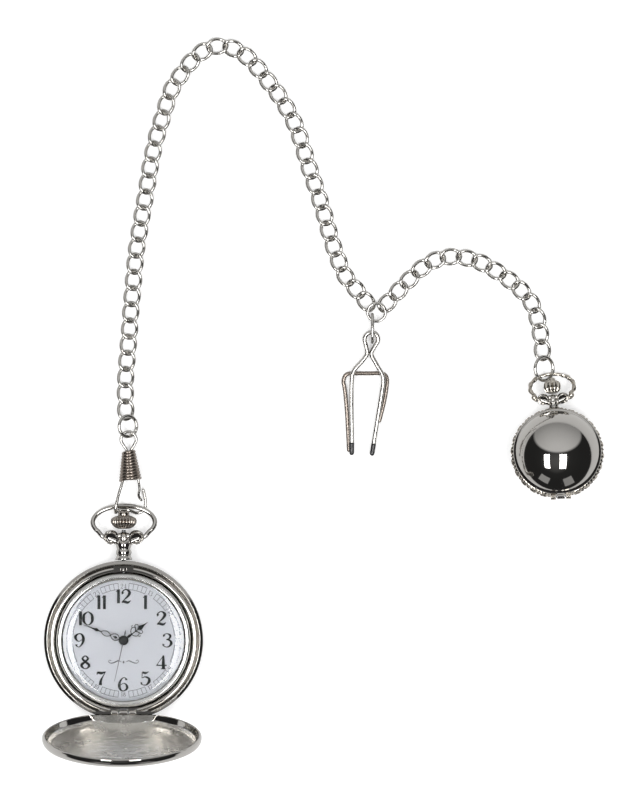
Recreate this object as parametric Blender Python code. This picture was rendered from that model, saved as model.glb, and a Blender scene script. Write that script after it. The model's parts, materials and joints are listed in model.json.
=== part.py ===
"""Hunter-case quartz pocket watch with its curb chain, snap clasp, belt clip and ball watch fob.

The watch lies on its back with the lid open. +Z is the dial's normal, +Y points to 12 o'clock and
the crown, +X to 3 o'clock. The origin is the centre of the case back's flat, on the surface.
Sizes are in millimetres, and finish() scales every mesh to metres.
"""

import math

import bmesh
import bpy
import numpy as np
from mathutils import Matrix, Vector
from mathutils.geometry import tessellate_polygon

MM = 0.001

# Case
CASE_RADIUS = 23.0
CASE_TOP = 8.6
BACK_TOP = 2.4
BAND_BOTTOM = 2.7
BAND_BORE = 19.7
FLAT_RADIUS = 15.0
CASE_SEGMENTS = 40

# Lid and its hinge
HINGE_Y = -20.9
HINGE_Z = 8.6
LID_OPEN = 105.0
LID_RADIUS = 22.9
LID_RIM_Z = 8.9
LID_HEIGHT = 4.2
KNUCKLE_RADIUS = 0.85
KNUCKLE_BORE = 0.62
PIN_RADIUS = 0.35
CHORD_Y = -20.5

# Crown, pendant and bow
STEM_Z = 4.7
BOW_PIVOT_Y = 30.0
BOW_LENGTH = 9.2
BOW_HALF_WIDTH = 9.0
BOW_WIRE = 0.7
BOW_DROOP = 16.0

# Dial and hands
DIAL_RADIUS = 18.9
DIAL_TOP = 6.2
HOUR_ANGLE = 53.0
MINUTE_ANGLE = 291.5
SECOND_ANGLE = 192.4

# Going train: teeth, and the distances between the arbors
THIRD_AT = (3.195, 1.163)
INTERMEDIATE_AT = (-2.706, -0.985)
ROTOR_AT = (-3.931, -3.107)
MINUTE_WHEEL_AT = (2.4, -2.4)

# Chain, clasp and belt clip
CHAIN_RADIUS = 1.2
CLASP_WIRE = 0.45
CLIP_WIRE = 0.6

# Ball watch fob: its centre, tilt and size
FOB_AT = (125.35, 54.15, 9.82)
FOB_TURN = 4.1
FOB_TILT = 14.0
FOB_RADIUS = 13.1
FOB_HINGE_Y = -13.3
FOB_HINGE_Z = 1.9
FOB_SEGMENTS = 24

# The curb chain's two runs lie on the surface: a long one from the clasp to the junction, and a
# short one from the junction to the fob.
LONG_ROUTE = [
    (0.5, 66.2), (0.4, 73.8), (0.8, 80.5), (1.4, 87.4), (2.0, 95.5), (2.7, 103.6), (3.6, 112.9),
    (4.9, 121.0), (6.3, 129.1), (7.6, 137.2), (9.3, 145.3), (11.4, 152.2), (13.4, 158.6),
    (16.3, 163.5), (19.2, 167.3), (22.4, 170.2), (25.8, 171.8), (29.9, 171.9), (33.6, 170.3),
    (37.1, 167.6), (40.9, 162.9), (44.9, 157.7), (48.5, 151.6), (51.0, 145.6), (53.0, 138.9),
    (55.3, 132.0), (57.7, 124.5), (59.8, 116.9), (61.7, 111.2), (64.0, 105.7), (67.2, 101.6),
    (70.5, 97.6),
]
SHORT_ROUTE = [
    (76.0, 97.3), (79.9, 101.5), (82.8, 104.5), (85.7, 107.2), (88.6, 109.3), (91.5, 110.4),
    (94.7, 111.0), (97.6, 110.9), (100.5, 110.3), (103.4, 109.3), (106.3, 107.8), (109.2, 106.0),
    (112.1, 103.9), (114.9, 101.5), (117.8, 98.1), (119.6, 93.8), (120.7, 88.6), (121.3, 83.5),
]


# ---------------------------------------------------------------- helpers

def clear_scene():
    for obj in list(bpy.data.objects):
        bpy.data.objects.remove(obj, do_unlink=True)


def material(name, color, metallic, roughness, alpha=1.0):
    mat = bpy.data.materials.get(name)
    if mat:
        return mat
    mat = bpy.data.materials.new(name)
    mat.use_nodes = True
    shader = mat.node_tree.nodes["Principled BSDF"]
    shader.inputs["Base Color"].default_value = (*color, 1.0)
    shader.inputs["Metallic"].default_value = metallic
    shader.inputs["Roughness"].default_value = roughness
    shader.inputs["Alpha"].default_value = alpha
    return mat


def chrome():
    return material("polished_nickel", (0.80, 0.79, 0.77), 1.0, 0.08)


def satin():
    return material("satin_nickel", (0.62, 0.61, 0.58), 1.0, 0.32)


def steel():
    return material("steel", (0.55, 0.55, 0.56), 1.0, 0.25)


def brass():
    return material("brass", (0.71, 0.53, 0.24), 1.0, 0.3)


def white_paint():
    return material("dial_paint", (0.86, 0.88, 0.90), 0.0, 0.45)


def black_paint():
    return material("hand_paint", (0.01, 0.01, 0.012), 0.0, 0.3)


def plastic():
    return material("movement_plastic", (0.72, 0.73, 0.70), 0.0, 0.5)


def glass():
    return material("mineral_glass", (0.95, 0.97, 0.98), 0.0, 0.02, 0.2)


def board_green():
    return material("circuit_board_green", (0.05, 0.22, 0.10), 0.0, 0.4)


def copper():
    return material("enamelled_copper", (0.60, 0.27, 0.12), 1.0, 0.4)


def place(obj, name, mat, origin=(0, 0, 0), parent=None):
    """Puts the object's origin at a point given in millimetres in its parent's frame."""
    obj.name = name
    obj.data.materials.append(mat)
    obj.location = Vector(origin) * MM
    obj.parent = parent
    bpy.context.scene.collection.objects.link(obj)
    return obj


def finish(name, bm, mat, origin=(0, 0, 0), parent=None, smooth=True):
    """Turns a bmesh in millimetres into an object in metres whose origin is at the given point."""
    bmesh.ops.remove_doubles(bm, verts=bm.verts, dist=1e-4)
    bmesh.ops.recalc_face_normals(bm, faces=bm.faces)
    bm.transform(Matrix.Scale(MM, 4) @ Matrix.Translation(-Vector(origin)))
    mesh = bpy.data.meshes.new(name)
    bm.to_mesh(mesh)
    bm.free()
    if smooth:
        mesh.shade_smooth()
        mesh.set_sharp_from_angle(angle=math.radians(30))
    return place(bpy.data.objects.new(name, mesh), name, mat, origin, parent)


def turned_mesh(profile, segments, closed, axis="Z", at=(0, 0, 0)):
    """Spins (radius, height) points about an axis. An open profile starts and ends on the axis."""
    bm = bmesh.new()
    verts = [bm.verts.new((r, 0, z)) for r, z in profile]
    edges = [bm.edges.new(pair) for pair in zip(verts, verts[1:])]
    if closed:
        edges.append(bm.edges.new((verts[-1], verts[0])))
    bmesh.ops.spin(bm, geom=verts + edges, cent=(0, 0, 0), axis=(0, 0, 1),
                   angle=2 * math.pi, steps=segments, use_merge=True)
    turn = {"Z": Matrix(), "Y": Matrix.Rotation(-math.pi / 2, 4, "X"),
            "X": Matrix.Rotation(math.pi / 2, 4, "Y")}[axis]
    bm.transform(Matrix.Translation(at) @ turn)
    return bm


def turned(name, profile, mat, segments=CASE_SEGMENTS, closed=False, axis="Z", at=(0, 0, 0), **put):
    bm = turned_mesh(profile, segments, closed, axis, at)
    return finish(name, bm, mat, **put)


def rod(radius, low, high):
    """Open profile of a plain cylinder."""
    return [(0, high), (radius, high), (radius, low), (0, low)]


def circle(radius, count, at=(0, 0), start=0.0):
    return [(at[0] + radius * math.cos(start + 2 * math.pi * i / count),
             at[1] + radius * math.sin(start + 2 * math.pi * i / count)) for i in range(count)]


def gear(teeth, pitch_radius, at=(0, 0), depth=0.12, start=0.0):
    """V-toothed outline: the tips and the roots stand half a tooth depth off the pitch circle."""
    points = []
    for i in range(2 * teeth):
        radius = pitch_radius + (depth / 2 if i % 2 == 0 else -depth / 2 - 0.1)
        angle = start + math.pi * i / teeth
        points.append((at[0] + radius * math.cos(angle), at[1] + radius * math.sin(angle)))
    return points


def fill(bm, loops):
    """Fills the flat region between an outer loop of vertices and the loops inside it."""
    verts = [v for loop in loops for v in loop]
    for triangle in tessellate_polygon([[v.co for v in loop] for loop in loops]):
        bm.faces.new([verts[i] for i in triangle])


def loop_at(bm, outline, z):
    return [bm.verts.new((x, y, z)) for x, y in outline]


def wall(bm, low, high):
    for i, vert in enumerate(low):
        j = (i + 1) % len(low)
        bm.faces.new((vert, low[j], high[j], high[i]))


def stack_mesh(levels, holes=()):
    """Prisms on top of each other, from (outline, low, high) rows, with holes through all of them."""
    bm = bmesh.new()
    walls = [(loop_at(bm, outline, low), loop_at(bm, outline, high)) for outline, low, high in levels]
    bores = [(loop_at(bm, hole, levels[0][1]), loop_at(bm, hole, levels[-1][2])) for hole in holes]
    for low, high in walls + bores:
        wall(bm, low, high)
    for (_, below), (above, _) in zip(walls, walls[1:]):
        fill(bm, [below, above])
    fill(bm, [walls[0][0]] + [low for low, _ in bores])
    fill(bm, [walls[-1][1]] + [high for _, high in bores])
    return bm


def stack(name, levels, mat, holes=(), **put):
    return finish(name, stack_mesh(levels, holes), mat, smooth=False, **put)


def plate(name, outline, low, high, mat, holes=(), **put):
    return stack(name, [(outline, low, high)], mat, holes, **put)


def box_outline(x0, y0, x1, y1):
    return [(x0, y0), (x1, y0), (x1, y1), (x0, y1)]


def spaced(points, count):
    """Points at equal steps along the smooth curve that passes through a route's points."""
    knots = np.array(points, float)
    ends = np.vstack([2 * knots[0] - knots[1], knots, 2 * knots[-1] - knots[-2]])
    t = np.linspace(0, 1, 24, endpoint=False)[:, None]
    parts = []
    for a, b, c, d in zip(ends, ends[1:], ends[2:], ends[3:]):
        parts.append(0.5 * (2 * b + (c - a) * t + (2 * a - 5 * b + 4 * c - d) * t**2
                            + (3 * b - a - 3 * c + d) * t**3))
    dense = np.vstack(parts + [knots[-1:]])
    run = np.concatenate([[0], np.cumsum(np.linalg.norm(np.diff(dense, axis=0), axis=1))])
    steps = np.linspace(0, run[-1], count)
    return np.column_stack([np.interp(steps, run, dense[:, i]) for i in range(knots.shape[1])])


def wire(name, points, radius, mat, sides=2, cyclic=False, origin=(0, 0, 0), parent=None):
    """A round wire along 3-D points, with filled ends or closed on itself."""
    curve = bpy.data.curves.new(name, "CURVE")
    curve.dimensions = "3D"
    curve.bevel_depth = radius * MM
    curve.bevel_resolution = sides
    curve.use_fill_caps = not cyclic
    spline = curve.splines.new("POLY")
    spline.points.add(len(points) - 1)
    for point, place_ in zip(spline.points, points):
        point.co = (*((Vector(place_) - Vector(origin)) * MM), 1)
    spline.use_cyclic_u = cyclic
    return place(bpy.data.objects.new(name, curve), name, mat, origin, parent)


def ring_points(centre, radius, count, long=0.0, turn=Matrix()):
    """Points of a ring or, with a longer half-length along Y, of an oval link."""
    half = max(long, radius)
    points = []
    for i in range(count):
        angle = 2 * math.pi * (i + 0.5) / count
        local = Vector((radius * math.cos(angle), half * math.sin(angle), 0))
        points.append(Vector(centre) + turn.to_3x3() @ local)
    return points


def helper(name, bm, parent=None):
    """A hidden solid for a Boolean."""
    obj = finish(name, bm, steel(), parent=parent, smooth=False)
    obj.hide_render = True
    obj.display_type = "WIRE"
    return obj


def combine(obj, other, operation):
    modifier = obj.modifiers.new(other.name, "BOOLEAN")
    modifier.operation = operation
    modifier.solver = "EXACT"
    modifier.object = other
    return obj


def box_mesh(x0, x1, y0, y1, z0, z1):
    return stack_mesh([(box_outline(x0, y0, x1, y1), z0, z1)])


def frame(name, location, rotation=Matrix()):
    empty = bpy.data.objects.new(name, None)
    empty.matrix_world = Matrix.Translation(Vector(location) * MM) @ rotation
    bpy.context.scene.collection.objects.link(empty)
    bpy.context.view_layer.update()
    return empty


def cap_arc(base_radius, base_z, height, count, sign=1):
    """Points of a shallow dome's arc, from its base to its top on the axis."""
    ball = (base_radius**2 + height**2) / (2 * height)
    span = math.asin(min(1.0, base_radius / ball))
    points = []
    for i in range(count + 1):
        angle = span * (1 - i / count)
        rise = height - (ball - ball * math.cos(angle))
        points.append((ball * math.sin(angle), base_z + sign * rise))
    return points


# ---------------------------------------------------------------- case

def case_back():
    profile = [(0, 0.7), (FLAT_RADIUS, 0.7), (19.0, 1.2), (20.8, 1.75), (21.3, BACK_TOP),
               (22.2, BACK_TOP), (21.7, 1.4), (19.4, 0.5), (FLAT_RADIUS, 0), (0, 0)]
    turned("case_back", profile, chrome())


def case_body():
    """Middle band with its top rings, the hinge's flat and two knuckles, and the catch's notch."""
    profile = [(BAND_BORE, 7.9), (20.3, 8.3), (21.4, 8.2), (21.8, 7.7), (22.1, CASE_TOP),
               (22.8, CASE_TOP), (CASE_RADIUS, 8.1), (CASE_RADIUS, 3.7), (22.3, BAND_BOTTOM),
               (BAND_BORE, BAND_BOTTOM)]
    body = turned("case_body", profile, chrome(), closed=True)
    cuts = [
        ("cut_flat", box_mesh(-14, 14, -26, CHORD_Y, 6.6, 12)),
        ("cut_hinge_notch", box_mesh(-3.9, 3.9, -26, -19.0, 6.2, 12)),
        ("cut_catch_notch", box_mesh(-2.9, 2.9, 18.2, 21.5, 6.0, 12)),
        ("cut_stem_hole", turned_mesh(rod(1.0, 17, 25), 12, False, "Y", (0, 0, STEM_Z))),
    ]
    for name, bm in cuts:
        combine(body, helper(name, bm), "DIFFERENCE")
    for side in (-1, 1):
        low, high = sorted((side * 1.6, side * 3.5))
        block = box_mesh(low, high, HINGE_Y - 0.6, -19.78, 5.8, HINGE_Z - 0.2)
        combine(body, helper(f"knuckle_foot_{side}", block), "UNION")
        barrel = turned_mesh(rod(KNUCKLE_RADIUS, low, high), 16, False, "X", (0, HINGE_Y, HINGE_Z))
        combine(body, helper(f"knuckle_{side}", barrel), "UNION")
    bore = turned_mesh(rod(KNUCKLE_BORE, -4, 4), 12, False, "X", (0, HINGE_Y, HINGE_Z))
    combine(body, helper("cut_pin_bore", bore), "DIFFERENCE")


def bezel():
    profile = [(17.5, 9.15), (18.2, 9.55), (19.0, 9.45), (19.4, 8.9), (19.4, 6.7), (18.25, 6.7),
               (18.25, 8.85), (17.5, 8.95)]
    turned("bezel", profile, chrome(), closed=True)


def crystal():
    profile = [(0, 9.05), (9.0, 8.95), (15.0, 8.75), (17.95, 8.5), (17.95, 7.9), (0, 7.9)]
    turned("crystal", profile, glass())


def dial():
    plate("dial", circle(DIAL_RADIUS, CASE_SEGMENTS), DIAL_TOP - 0.4, DIAL_TOP, white_paint(),
          holes=[circle(1.3, 16)])


def lid_hinge_pin():
    turned("lid_hinge_pin", rod(PIN_RADIUS, -3.4, 3.4), steel(), 10, axis="X",
           at=(0, HINGE_Y, HINGE_Z))


def lid_spring():
    """Leaf that lifts the lid once the catch lets go of it."""
    plate("lid_spring", box_outline(-1.2, -20.6, 1.2, -19.75), 6.5, 6.8, steel())


def lid():
    """Domed front cover, modelled shut and turned open about the hinge by its parent."""
    hinge = frame("lid_hinge", (0, HINGE_Y, HINGE_Z), Matrix.Rotation(math.radians(LID_OPEN), 4, "X"))
    shift = (0, -HINGE_Y, -HINGE_Z)
    rim = LID_RIM_Z
    outer = [(LID_RADIUS - 0.4, rim), (LID_RADIUS, rim + 0.4), (LID_RADIUS, rim + 1.5),
             (LID_RADIUS - 0.5, rim + 2.4), (LID_RADIUS - 1.8, rim + 2.9)]
    dome = [(20.2, rim + 3.2), (15.0, rim + 3.8), (8.0, rim + 4.1)]
    profile = [(0, rim + LID_HEIGHT)] + dome[::-1] + outer[::-1] + [(0, rim)]
    body = turned("lid", profile, chrome(), parent=hinge, at=shift)
    cut = box_mesh(-14, 14, -30 - HINGE_Y, CHORD_Y - HINGE_Y, -4, 10)
    combine(body, helper("lid_cut_flat", cut, hinge), "DIFFERENCE")
    inner = [(0, rim + 3.4), (8.0, rim + 3.3), (15.0, rim + 3.0), (20.2, rim + 2.4),
             (21.6, rim + 1.6), (22.0, rim - 0.5), (0, rim - 0.5)]
    hollow = helper("lid_hollow", turned_mesh(inner, CASE_SEGMENTS, False, at=shift), hinge)
    keep = box_mesh(-23, 23, CHORD_Y + 0.8 - HINGE_Y, 46, -4, 10)
    combine(hollow, helper("lid_hollow_limit", keep, hinge), "INTERSECT")
    combine(body, hollow, "DIFFERENCE")
    for side in (-1, 1):
        low, high = sorted((side * 1.3, side * 3.9))
        relief = turned_mesh(rod(1.2, low, high), 16, False, "X")
        combine(body, helper(f"lid_relief_{side}", relief, hinge), "DIFFERENCE")
    tab = box_mesh(-1.1, 1.1, 0.05, 1.22, -0.08, 0.8)
    combine(body, helper("lid_tab", tab, hinge), "UNION")
    barrel = turned_mesh(rod(KNUCKLE_RADIUS, -1.2, 1.2), 16, False, "X")
    combine(body, helper("lid_barrel", barrel, hinge), "UNION")
    bore = turned_mesh(rod(KNUCKLE_BORE, -2, 2), 12, False, "X")
    combine(body, helper("lid_bore", bore, hinge), "DIFFERENCE")


# ---------------------------------------------------------------- pendant, crown and bow

def catch_spring():
    """Leaf with the tooth that holds the lid shut, pushed in by the crown."""
    levels = [(box_outline(-2.5, 20.35, 2.5, 20.85), 6.3, 7.2),
              (box_outline(-0.7, 20.45, 0.7, 20.75), 7.2, 9.4)]
    stack("catch_spring", levels, steel())


def pendant_tube():
    profile = [(1.0, 28.4), (2.1, 28.4), (2.35, 27.8), (2.0, 27.1), (1.8, 25.6), (2.1, 25.1),
               (1.85, 24.6), (2.4, 23.3), (1.0, 23.3)]
    turned("pendant_tube", profile, chrome(), 16, closed=True, axis="Y", at=(0, 0, STEM_Z))


def pendant_collar():
    """V-shaped head of the pendant, whose two ears take the ends of the bow."""
    half = [(2.1, 28.7), (3.8, 28.9), (5.3, 29.5), (5.7, 30.6), (5.2, 31.6), (4.0, 32.0),
            (2.6, 31.4), (1.6, 30.7)]
    outline = half + [(-x, y) for x, y in half[::-1]]
    body = plate("pendant_collar", outline, STEM_Z - 1.9, STEM_Z + 1.9, chrome())
    bore = turned_mesh(rod(1.0, 27, 33), 12, False, "Y", (0, 0, STEM_Z))
    combine(body, helper("collar_bore", bore), "DIFFERENCE")
    for side in (-1, 1):
        low, high = sorted((side * 3.6, side * 7.0))
        hole = turned_mesh(rod(1.05, low, high), 12, False, "X", (0, BOW_PIVOT_Y, STEM_Z))
        combine(body, helper(f"collar_ear_{side}", hole), "DIFFERENCE")


def crown():
    profile = [(0, 37.4), (1.5, 37.2), (1.7, 36.6), (1.6, 36.0), (3.1, 35.8), (3.9, 34.9),
               (3.8, 33.8), (2.8, 32.6), (1.9, 32.2), (0, 32.2)]
    turned("crown", profile, chrome(), 24, axis="Y", at=(0, 0, STEM_Z), origin=(0, 32.2, STEM_Z))


def winding_stem():
    profile = [(0, 31.9), (0.6, 31.9), (0.6, 12.4), (0.4, 12.2), (0.4, 7.6), (0, 7.6)]
    turned("winding_stem", profile, steel(), 10, axis="Y", at=(0, 0, STEM_Z),
           origin=(0, 12.4, STEM_Z))


def sliding_pinion():
    profile = [(0.6, 10.6), (0.95, 10.6), (0.95, 9.4), (0.75, 9.2), (0.95, 9.0), (0.95, 8.0),
               (0.6, 8.0)]
    turned("sliding_pinion", profile, steel(), 12, closed=True, axis="Y", at=(0, 0, STEM_Z),
           origin=(0, 9.0, STEM_Z))


def setting_lever():
    """Plate beside the stem that follows it out when the crown is pulled to set the hands."""
    outline = [(1.4, 10.9), (3.6, 10.2), (4.4, 7.4), (3.6, 7.2), (2.8, 9.4), (1.4, 10.0)]
    plate("setting_lever", outline, 3.6, 4.0, steel())


def bow():
    pivot = (0, BOW_PIVOT_Y, STEM_Z)
    wire("bow", bow_points(BOW_LENGTH, BOW_HALF_WIDTH, 4.1, pivot, BOW_DROOP, 22), BOW_WIRE,
         chrome(), origin=pivot)


def bow_points(length, half_width, pin_x, pivot, droop, count):
    """A wide oval that leaves one ear, goes round and comes back to the other ear.

    Each end has a straight pin along X in its ear, then the oval takes over.
    """
    centre_y = length * 0.46
    rise = length - centre_y
    fall = centre_y + 0.6
    lean = Matrix.Rotation(-math.radians(droop), 3, "X")
    first = math.radians(124)
    pin_end = pin_x + 1.9
    local = [Vector((-pin_x, 0, 0)), Vector((-pin_end, 0, 0))]
    for i in range(count + 1):
        angle = -first + 2 * first * i / count
        reach = rise if abs(angle) < math.pi / 2 else fall
        local.append(Vector((half_width * math.sin(angle), centre_y + reach * math.cos(angle), 0)))
    local += [Vector((pin_end, 0, 0)), Vector((pin_x, 0, 0))]
    return [Vector(pivot) + lean @ point for point in local]


# ---------------------------------------------------------------- quartz movement

def movement_holder():
    outline = []
    gap = math.radians(3.4)
    for i in range(37):
        angle = math.pi / 2 + gap + (2 * math.pi - 2 * gap) * i / 36
        outline.append((19.2 * math.cos(angle), 19.2 * math.sin(angle)))
    gap = math.radians(5.4)
    for i in range(29):
        angle = math.pi / 2 - gap - (2 * math.pi - 2 * gap) * i / 28
        outline.append((12.6 * math.cos(angle), 12.6 * math.sin(angle)))
    plate("movement_holder", outline, 2.6, 5.5, plastic())


def mainplate():
    rim = [(x, y) for x, y in circle(12.2, 36, start=math.pi / 2) if y < 0 or abs(x) > 1.5]
    outline = [(-1.2, 6.8), (-1.2, 12.0)] + rim + [(1.2, 12.0), (1.2, 6.8)]
    plate("mainplate", outline, 4.55, 4.9, brass(),
          holes=[circle(0.85, 12), circle(0.55, 8, MINUTE_WHEEL_AT)])


def train_bridge():
    outline = [(-6.2, -4.7), (1.9, -4.7), (3.0, -1.7), (6.7, -0.7), (6.7, 3.2), (-6.2, 3.2)]
    plate("train_bridge", outline, 1.35, 1.65, brass(),
          holes=[circle(0.75, 8, (-5.1, 2.1)), circle(0.75, 8, (0.6, -3.9))])


def bridge_screw(name, at):
    levels = [(circle(1.1, 12, at), 0.95, 1.12), (circle(0.42, 12, at), 1.12, 4.3)]
    stack(name, levels, steel())


def battery():
    turned("battery", [(0, 3.95), (2.9, 3.95), (3.1, 3.75), (3.4, 3.65), (3.4, 1.45), (3.2, 1.35),
                       (0, 1.35)], steel(), 20, at=(6.6, -5.4, 0))


def battery_clamp():
    plate("battery_clamp", box_outline(2.8, -6.1, 10.2, -4.7), 0.95, 1.1, steel())


def circuit_board():
    outline = [(-9.4, 3.5), (2.4, 3.5), (2.4, 8.2), (-6.6, 8.2), (-9.4, 6.2)]
    plate("circuit_board", outline, 1.35, 1.6, board_green())


def quartz_can():
    turned("quartz_can", rod(0.85, -6.6, -1.4), steel(), 12, axis="X", at=(0, 5.2, 2.75))


def coil():
    profile = [(0, 2.6), (1.3, 2.6), (1.3, 2.2), (0.95, 2.1), (0.95, -5.3), (1.3, -5.4),
               (1.3, -5.8), (0, -5.8)]
    turned("coil", profile, copper(), 12, axis="X", at=(0, -8.6, 3.0))


def stator():
    outline = [(-8.4, -1.7), (-2.3, -1.7), (-2.3, -4.7), (-5.6, -4.7), (-6.4, -5.4), (-6.4, -10.0),
               (-8.4, -8.4)]
    plate("stator", outline, 3.1, 3.35, steel(), holes=[circle(1.25, 14, ROTOR_AT)])


def rotor():
    x, y = ROTOR_AT
    levels = [(circle(0.2, 8, ROTOR_AT), 1.85, 2.4), (gear(6, 0.35, ROTOR_AT), 2.4, 2.7),
              (circle(0.2, 8, ROTOR_AT), 2.7, 2.95), (circle(0.9, 14, ROTOR_AT), 2.95, 3.75),
              (circle(0.2, 8, ROTOR_AT), 3.75, 4.3)]
    stack("rotor", levels, steel(), origin=(x, y, 3.3))


def intermediate_wheel():
    x, y = INTERMEDIATE_AT
    mesh_angle = math.atan2(ROTOR_AT[1] - y, ROTOR_AT[0] - x)
    levels = [(circle(0.2, 8, INTERMEDIATE_AT), 1.85, 1.95),
              (gear(6, 0.48, INTERMEDIATE_AT), 1.95, 2.28),
              (circle(0.2, 8, INTERMEDIATE_AT), 2.28, 2.45),
              (gear(36, 2.1, INTERMEDIATE_AT, start=mesh_angle), 2.45, 2.65),
              (circle(0.2, 8, INTERMEDIATE_AT), 2.65, 3.4)]
    stack("intermediate_wheel", levels, steel(), origin=(x, y, 2.5))


def second_wheel():
    levels = [(circle(0.2, 8), 1.85, 2.0), (gear(30, 2.4), 2.0, 2.22), (circle(0.2, 8), 2.22, 2.75),
              (gear(6, 0.4), 2.75, 3.12), (circle(0.2, 8), 3.12, 7.35)]
    stack("second_wheel", levels, steel(), origin=(0, 0, 2.1))


def third_wheel():
    x, y = THIRD_AT
    levels = [(circle(0.2, 8, THIRD_AT), 1.85, 2.82), (gear(45, 3.0, THIRD_AT), 2.82, 3.04),
              (circle(0.2, 8, THIRD_AT), 3.04, 3.5), (gear(6, 0.378, THIRD_AT), 3.5, 3.95),
              (circle(0.2, 8, THIRD_AT), 3.95, 4.3)]
    stack("third_wheel", levels, brass(), origin=(x, y, 2.9))


def center_wheel():
    """Minute wheel of the train with the cannon pinion and the pipe that carries the minute hand."""
    levels = [(gear(48, 3.0), 3.6, 3.82), (circle(0.6, 12), 3.82, 5.08), (gear(12, 0.72), 5.08, 5.45),
              (circle(0.6, 12), 5.45, 6.9)]
    stack("center_wheel", levels, brass(), holes=[circle(0.4, 10)], origin=(0, 0, 3.7))


def minute_wheel():
    x, y = MINUTE_WHEEL_AT
    levels = [(circle(0.3, 8, MINUTE_WHEEL_AT), 4.1, 5.12), (gear(36, 2.45, MINUTE_WHEEL_AT), 5.12, 5.26),
              (gear(10, 0.68, MINUTE_WHEEL_AT), 5.26, 5.6)]
    stack("minute_wheel", levels, brass(), origin=(x, y, 5.2))


def hour_wheel():
    levels = [(gear(40, 2.68, depth=0.1), 5.5, 5.62), (circle(1.05, 12), 5.62, 6.35)]
    stack("hour_wheel", levels, brass(), holes=[circle(0.82, 12)], origin=(0, 0, 5.5))


def hand_outline(reach, hub, waist, belly, tail):
    """Right half of a hand along +Y from its tail, mirrored to the left half."""
    half = [(0.35 * hub, -0.94 * hub), (0.8 * hub, -0.6 * hub), (hub, 0), (0.8 * hub, 0.6 * hub),
            (waist, 0.95 * hub), (waist, 0.62 * reach), (belly, 0.72 * reach), (0.12, 0.92 * reach),
            (0.06, reach)]
    tail_part = [(0.35 * hub, -tail)] if tail > hub else []
    right = tail_part + half
    return right + [(-x, y) for x, y in right[::-1]]


def hand(name, reach, hub, waist, belly, low, high, angle, bore=0.0, tail=0.0, parent=None,
         mat=None):
    """A flat hand, turned clockwise from 12 o'clock by its angle in degrees."""
    turn = Matrix.Rotation(-math.radians(angle), 2)
    outline = [tuple(turn @ Vector(point)) for point in hand_outline(reach, hub, waist, belly, tail)]
    holes = [circle(bore, 10)] if bore else []
    plate(name, outline, low, high, mat or black_paint(), holes, parent=parent, origin=(0, 0, low))


def hands():
    hand("hour_hand", 8.8, 1.4, 0.5, 0.9, 6.58, 6.76, HOUR_ANGLE, bore=0.82)
    hand("minute_hand", 12.3, 1.15, 0.4, 0.7, 7.1, 7.25, MINUTE_ANGLE, bore=0.42)
    hand("second_hand", 12.1, 0.8, 0.16, 0.13, 7.5, 7.6, SECOND_ANGLE, tail=3.2, mat=steel())


# ---------------------------------------------------------------- clasp and chain

def clasp():
    """Snap clasp: a wire hook with an eye, a latch wire and the conical coil that binds them."""
    tilt = Matrix.Rotation(math.radians(34), 4, "Y")
    wire("clasp_ring", ring_points((1.15, 61.9, 2.45), 3.0, 16, turn=tilt), 0.5, chrome(), cyclic=True)
    hook = [(5.6, 43.4, 1.2), (6.0, 41.5, 0.75), (6.25, 39.4, 0.32), (5.95, 38.0, 0.3),
            (4.9, 37.0, 0.35), (3.5, 36.75, 0.7), (2.2, 37.3, 1.4), (0.9, 37.66, 1.8),
            (-0.8, 37.66, 1.8), (-1.7, 37.4, 2.05), (-2.3, 36.93, 2.75), (-2.45, 37.12, 3.6),
            (-2.4, 37.8, 4.2), (-2.3, 38.7, 4.4), (-2.0, 40.0, 4.3), (-1.4, 42.5, 4.0),
            (-0.45, 45.7, 3.6), (0.3, 49.5, 3.1), (0.75, 54.6, 2.45), (0.0, 56.2, 2.45),
            (-0.85, 57.9, 2.45), (-0.3, 59.6, 2.45), (1.25, 60.3, 2.45), (2.8, 59.8, 2.45),
            (3.6, 58.0, 2.45), (2.8, 56.2, 2.45), (2.0, 54.6, 2.45), (2.3, 51.0, 2.8)]
    wire("clasp_hook", spaced(hook, 56), CLASP_WIRE, chrome(), sides=1)
    latch = [(3.1, 49.2, 3.2), (4.1, 46.6, 3.3), (4.5, 44.0, 2.6), (4.25, 42.0, 2.0), (4.7, 40.9, 1.6),
             (5.0, 40.5, 1.45)]
    wire("clasp_latch", spaced(latch, 12), 0.4, chrome(), sides=1, origin=latch[0])
    start, end = Vector((1.94, 45.9, 3.45)), Vector((1.36, 55.0, 2.45))
    axis = (end - start).normalized()
    length = (end - start).length
    profile = [(3.0, 0), (3.35, 0.15), (3.3, 1.4), (2.1, length - 0.6), (1.95, length),
               (1.5, length), (1.6, length - 1.2)]
    bm = turned_mesh(profile, 16, True)
    bm.transform(Matrix.Translation(start) @ axis.to_track_quat("Z", "Y").to_matrix().to_4x4())
    finish("clasp_coil", bm, chrome())


def chain():
    for name, route, count in (("chain_long", LONG_ROUTE, 50), ("chain_short", SHORT_ROUTE, 20)):
        points = [(x, y, CHAIN_RADIUS + 0.02) for x, y in spaced(route, count)]
        wire(name, points, CHAIN_RADIUS, chrome())
    wire("junction_ring", ring_points((73.2, 94.9, 2.2), 2.6, 14), 0.45, chrome(), cyclic=True)
    upright = Matrix.Rotation(math.radians(90), 4, "Y")
    wire("clip_ring", ring_points((72.0, 90.25, 2.2), 1.6, 16, long=4.05, turn=upright), 0.45,
         chrome(), cyclic=True)
    tilt = Matrix.Rotation(math.radians(40), 4, "Y")
    wire("fob_ring", ring_points((121.7, 78.6, 2.75), 3.45, 16, turn=tilt), 0.5, chrome(), cyclic=True)


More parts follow.
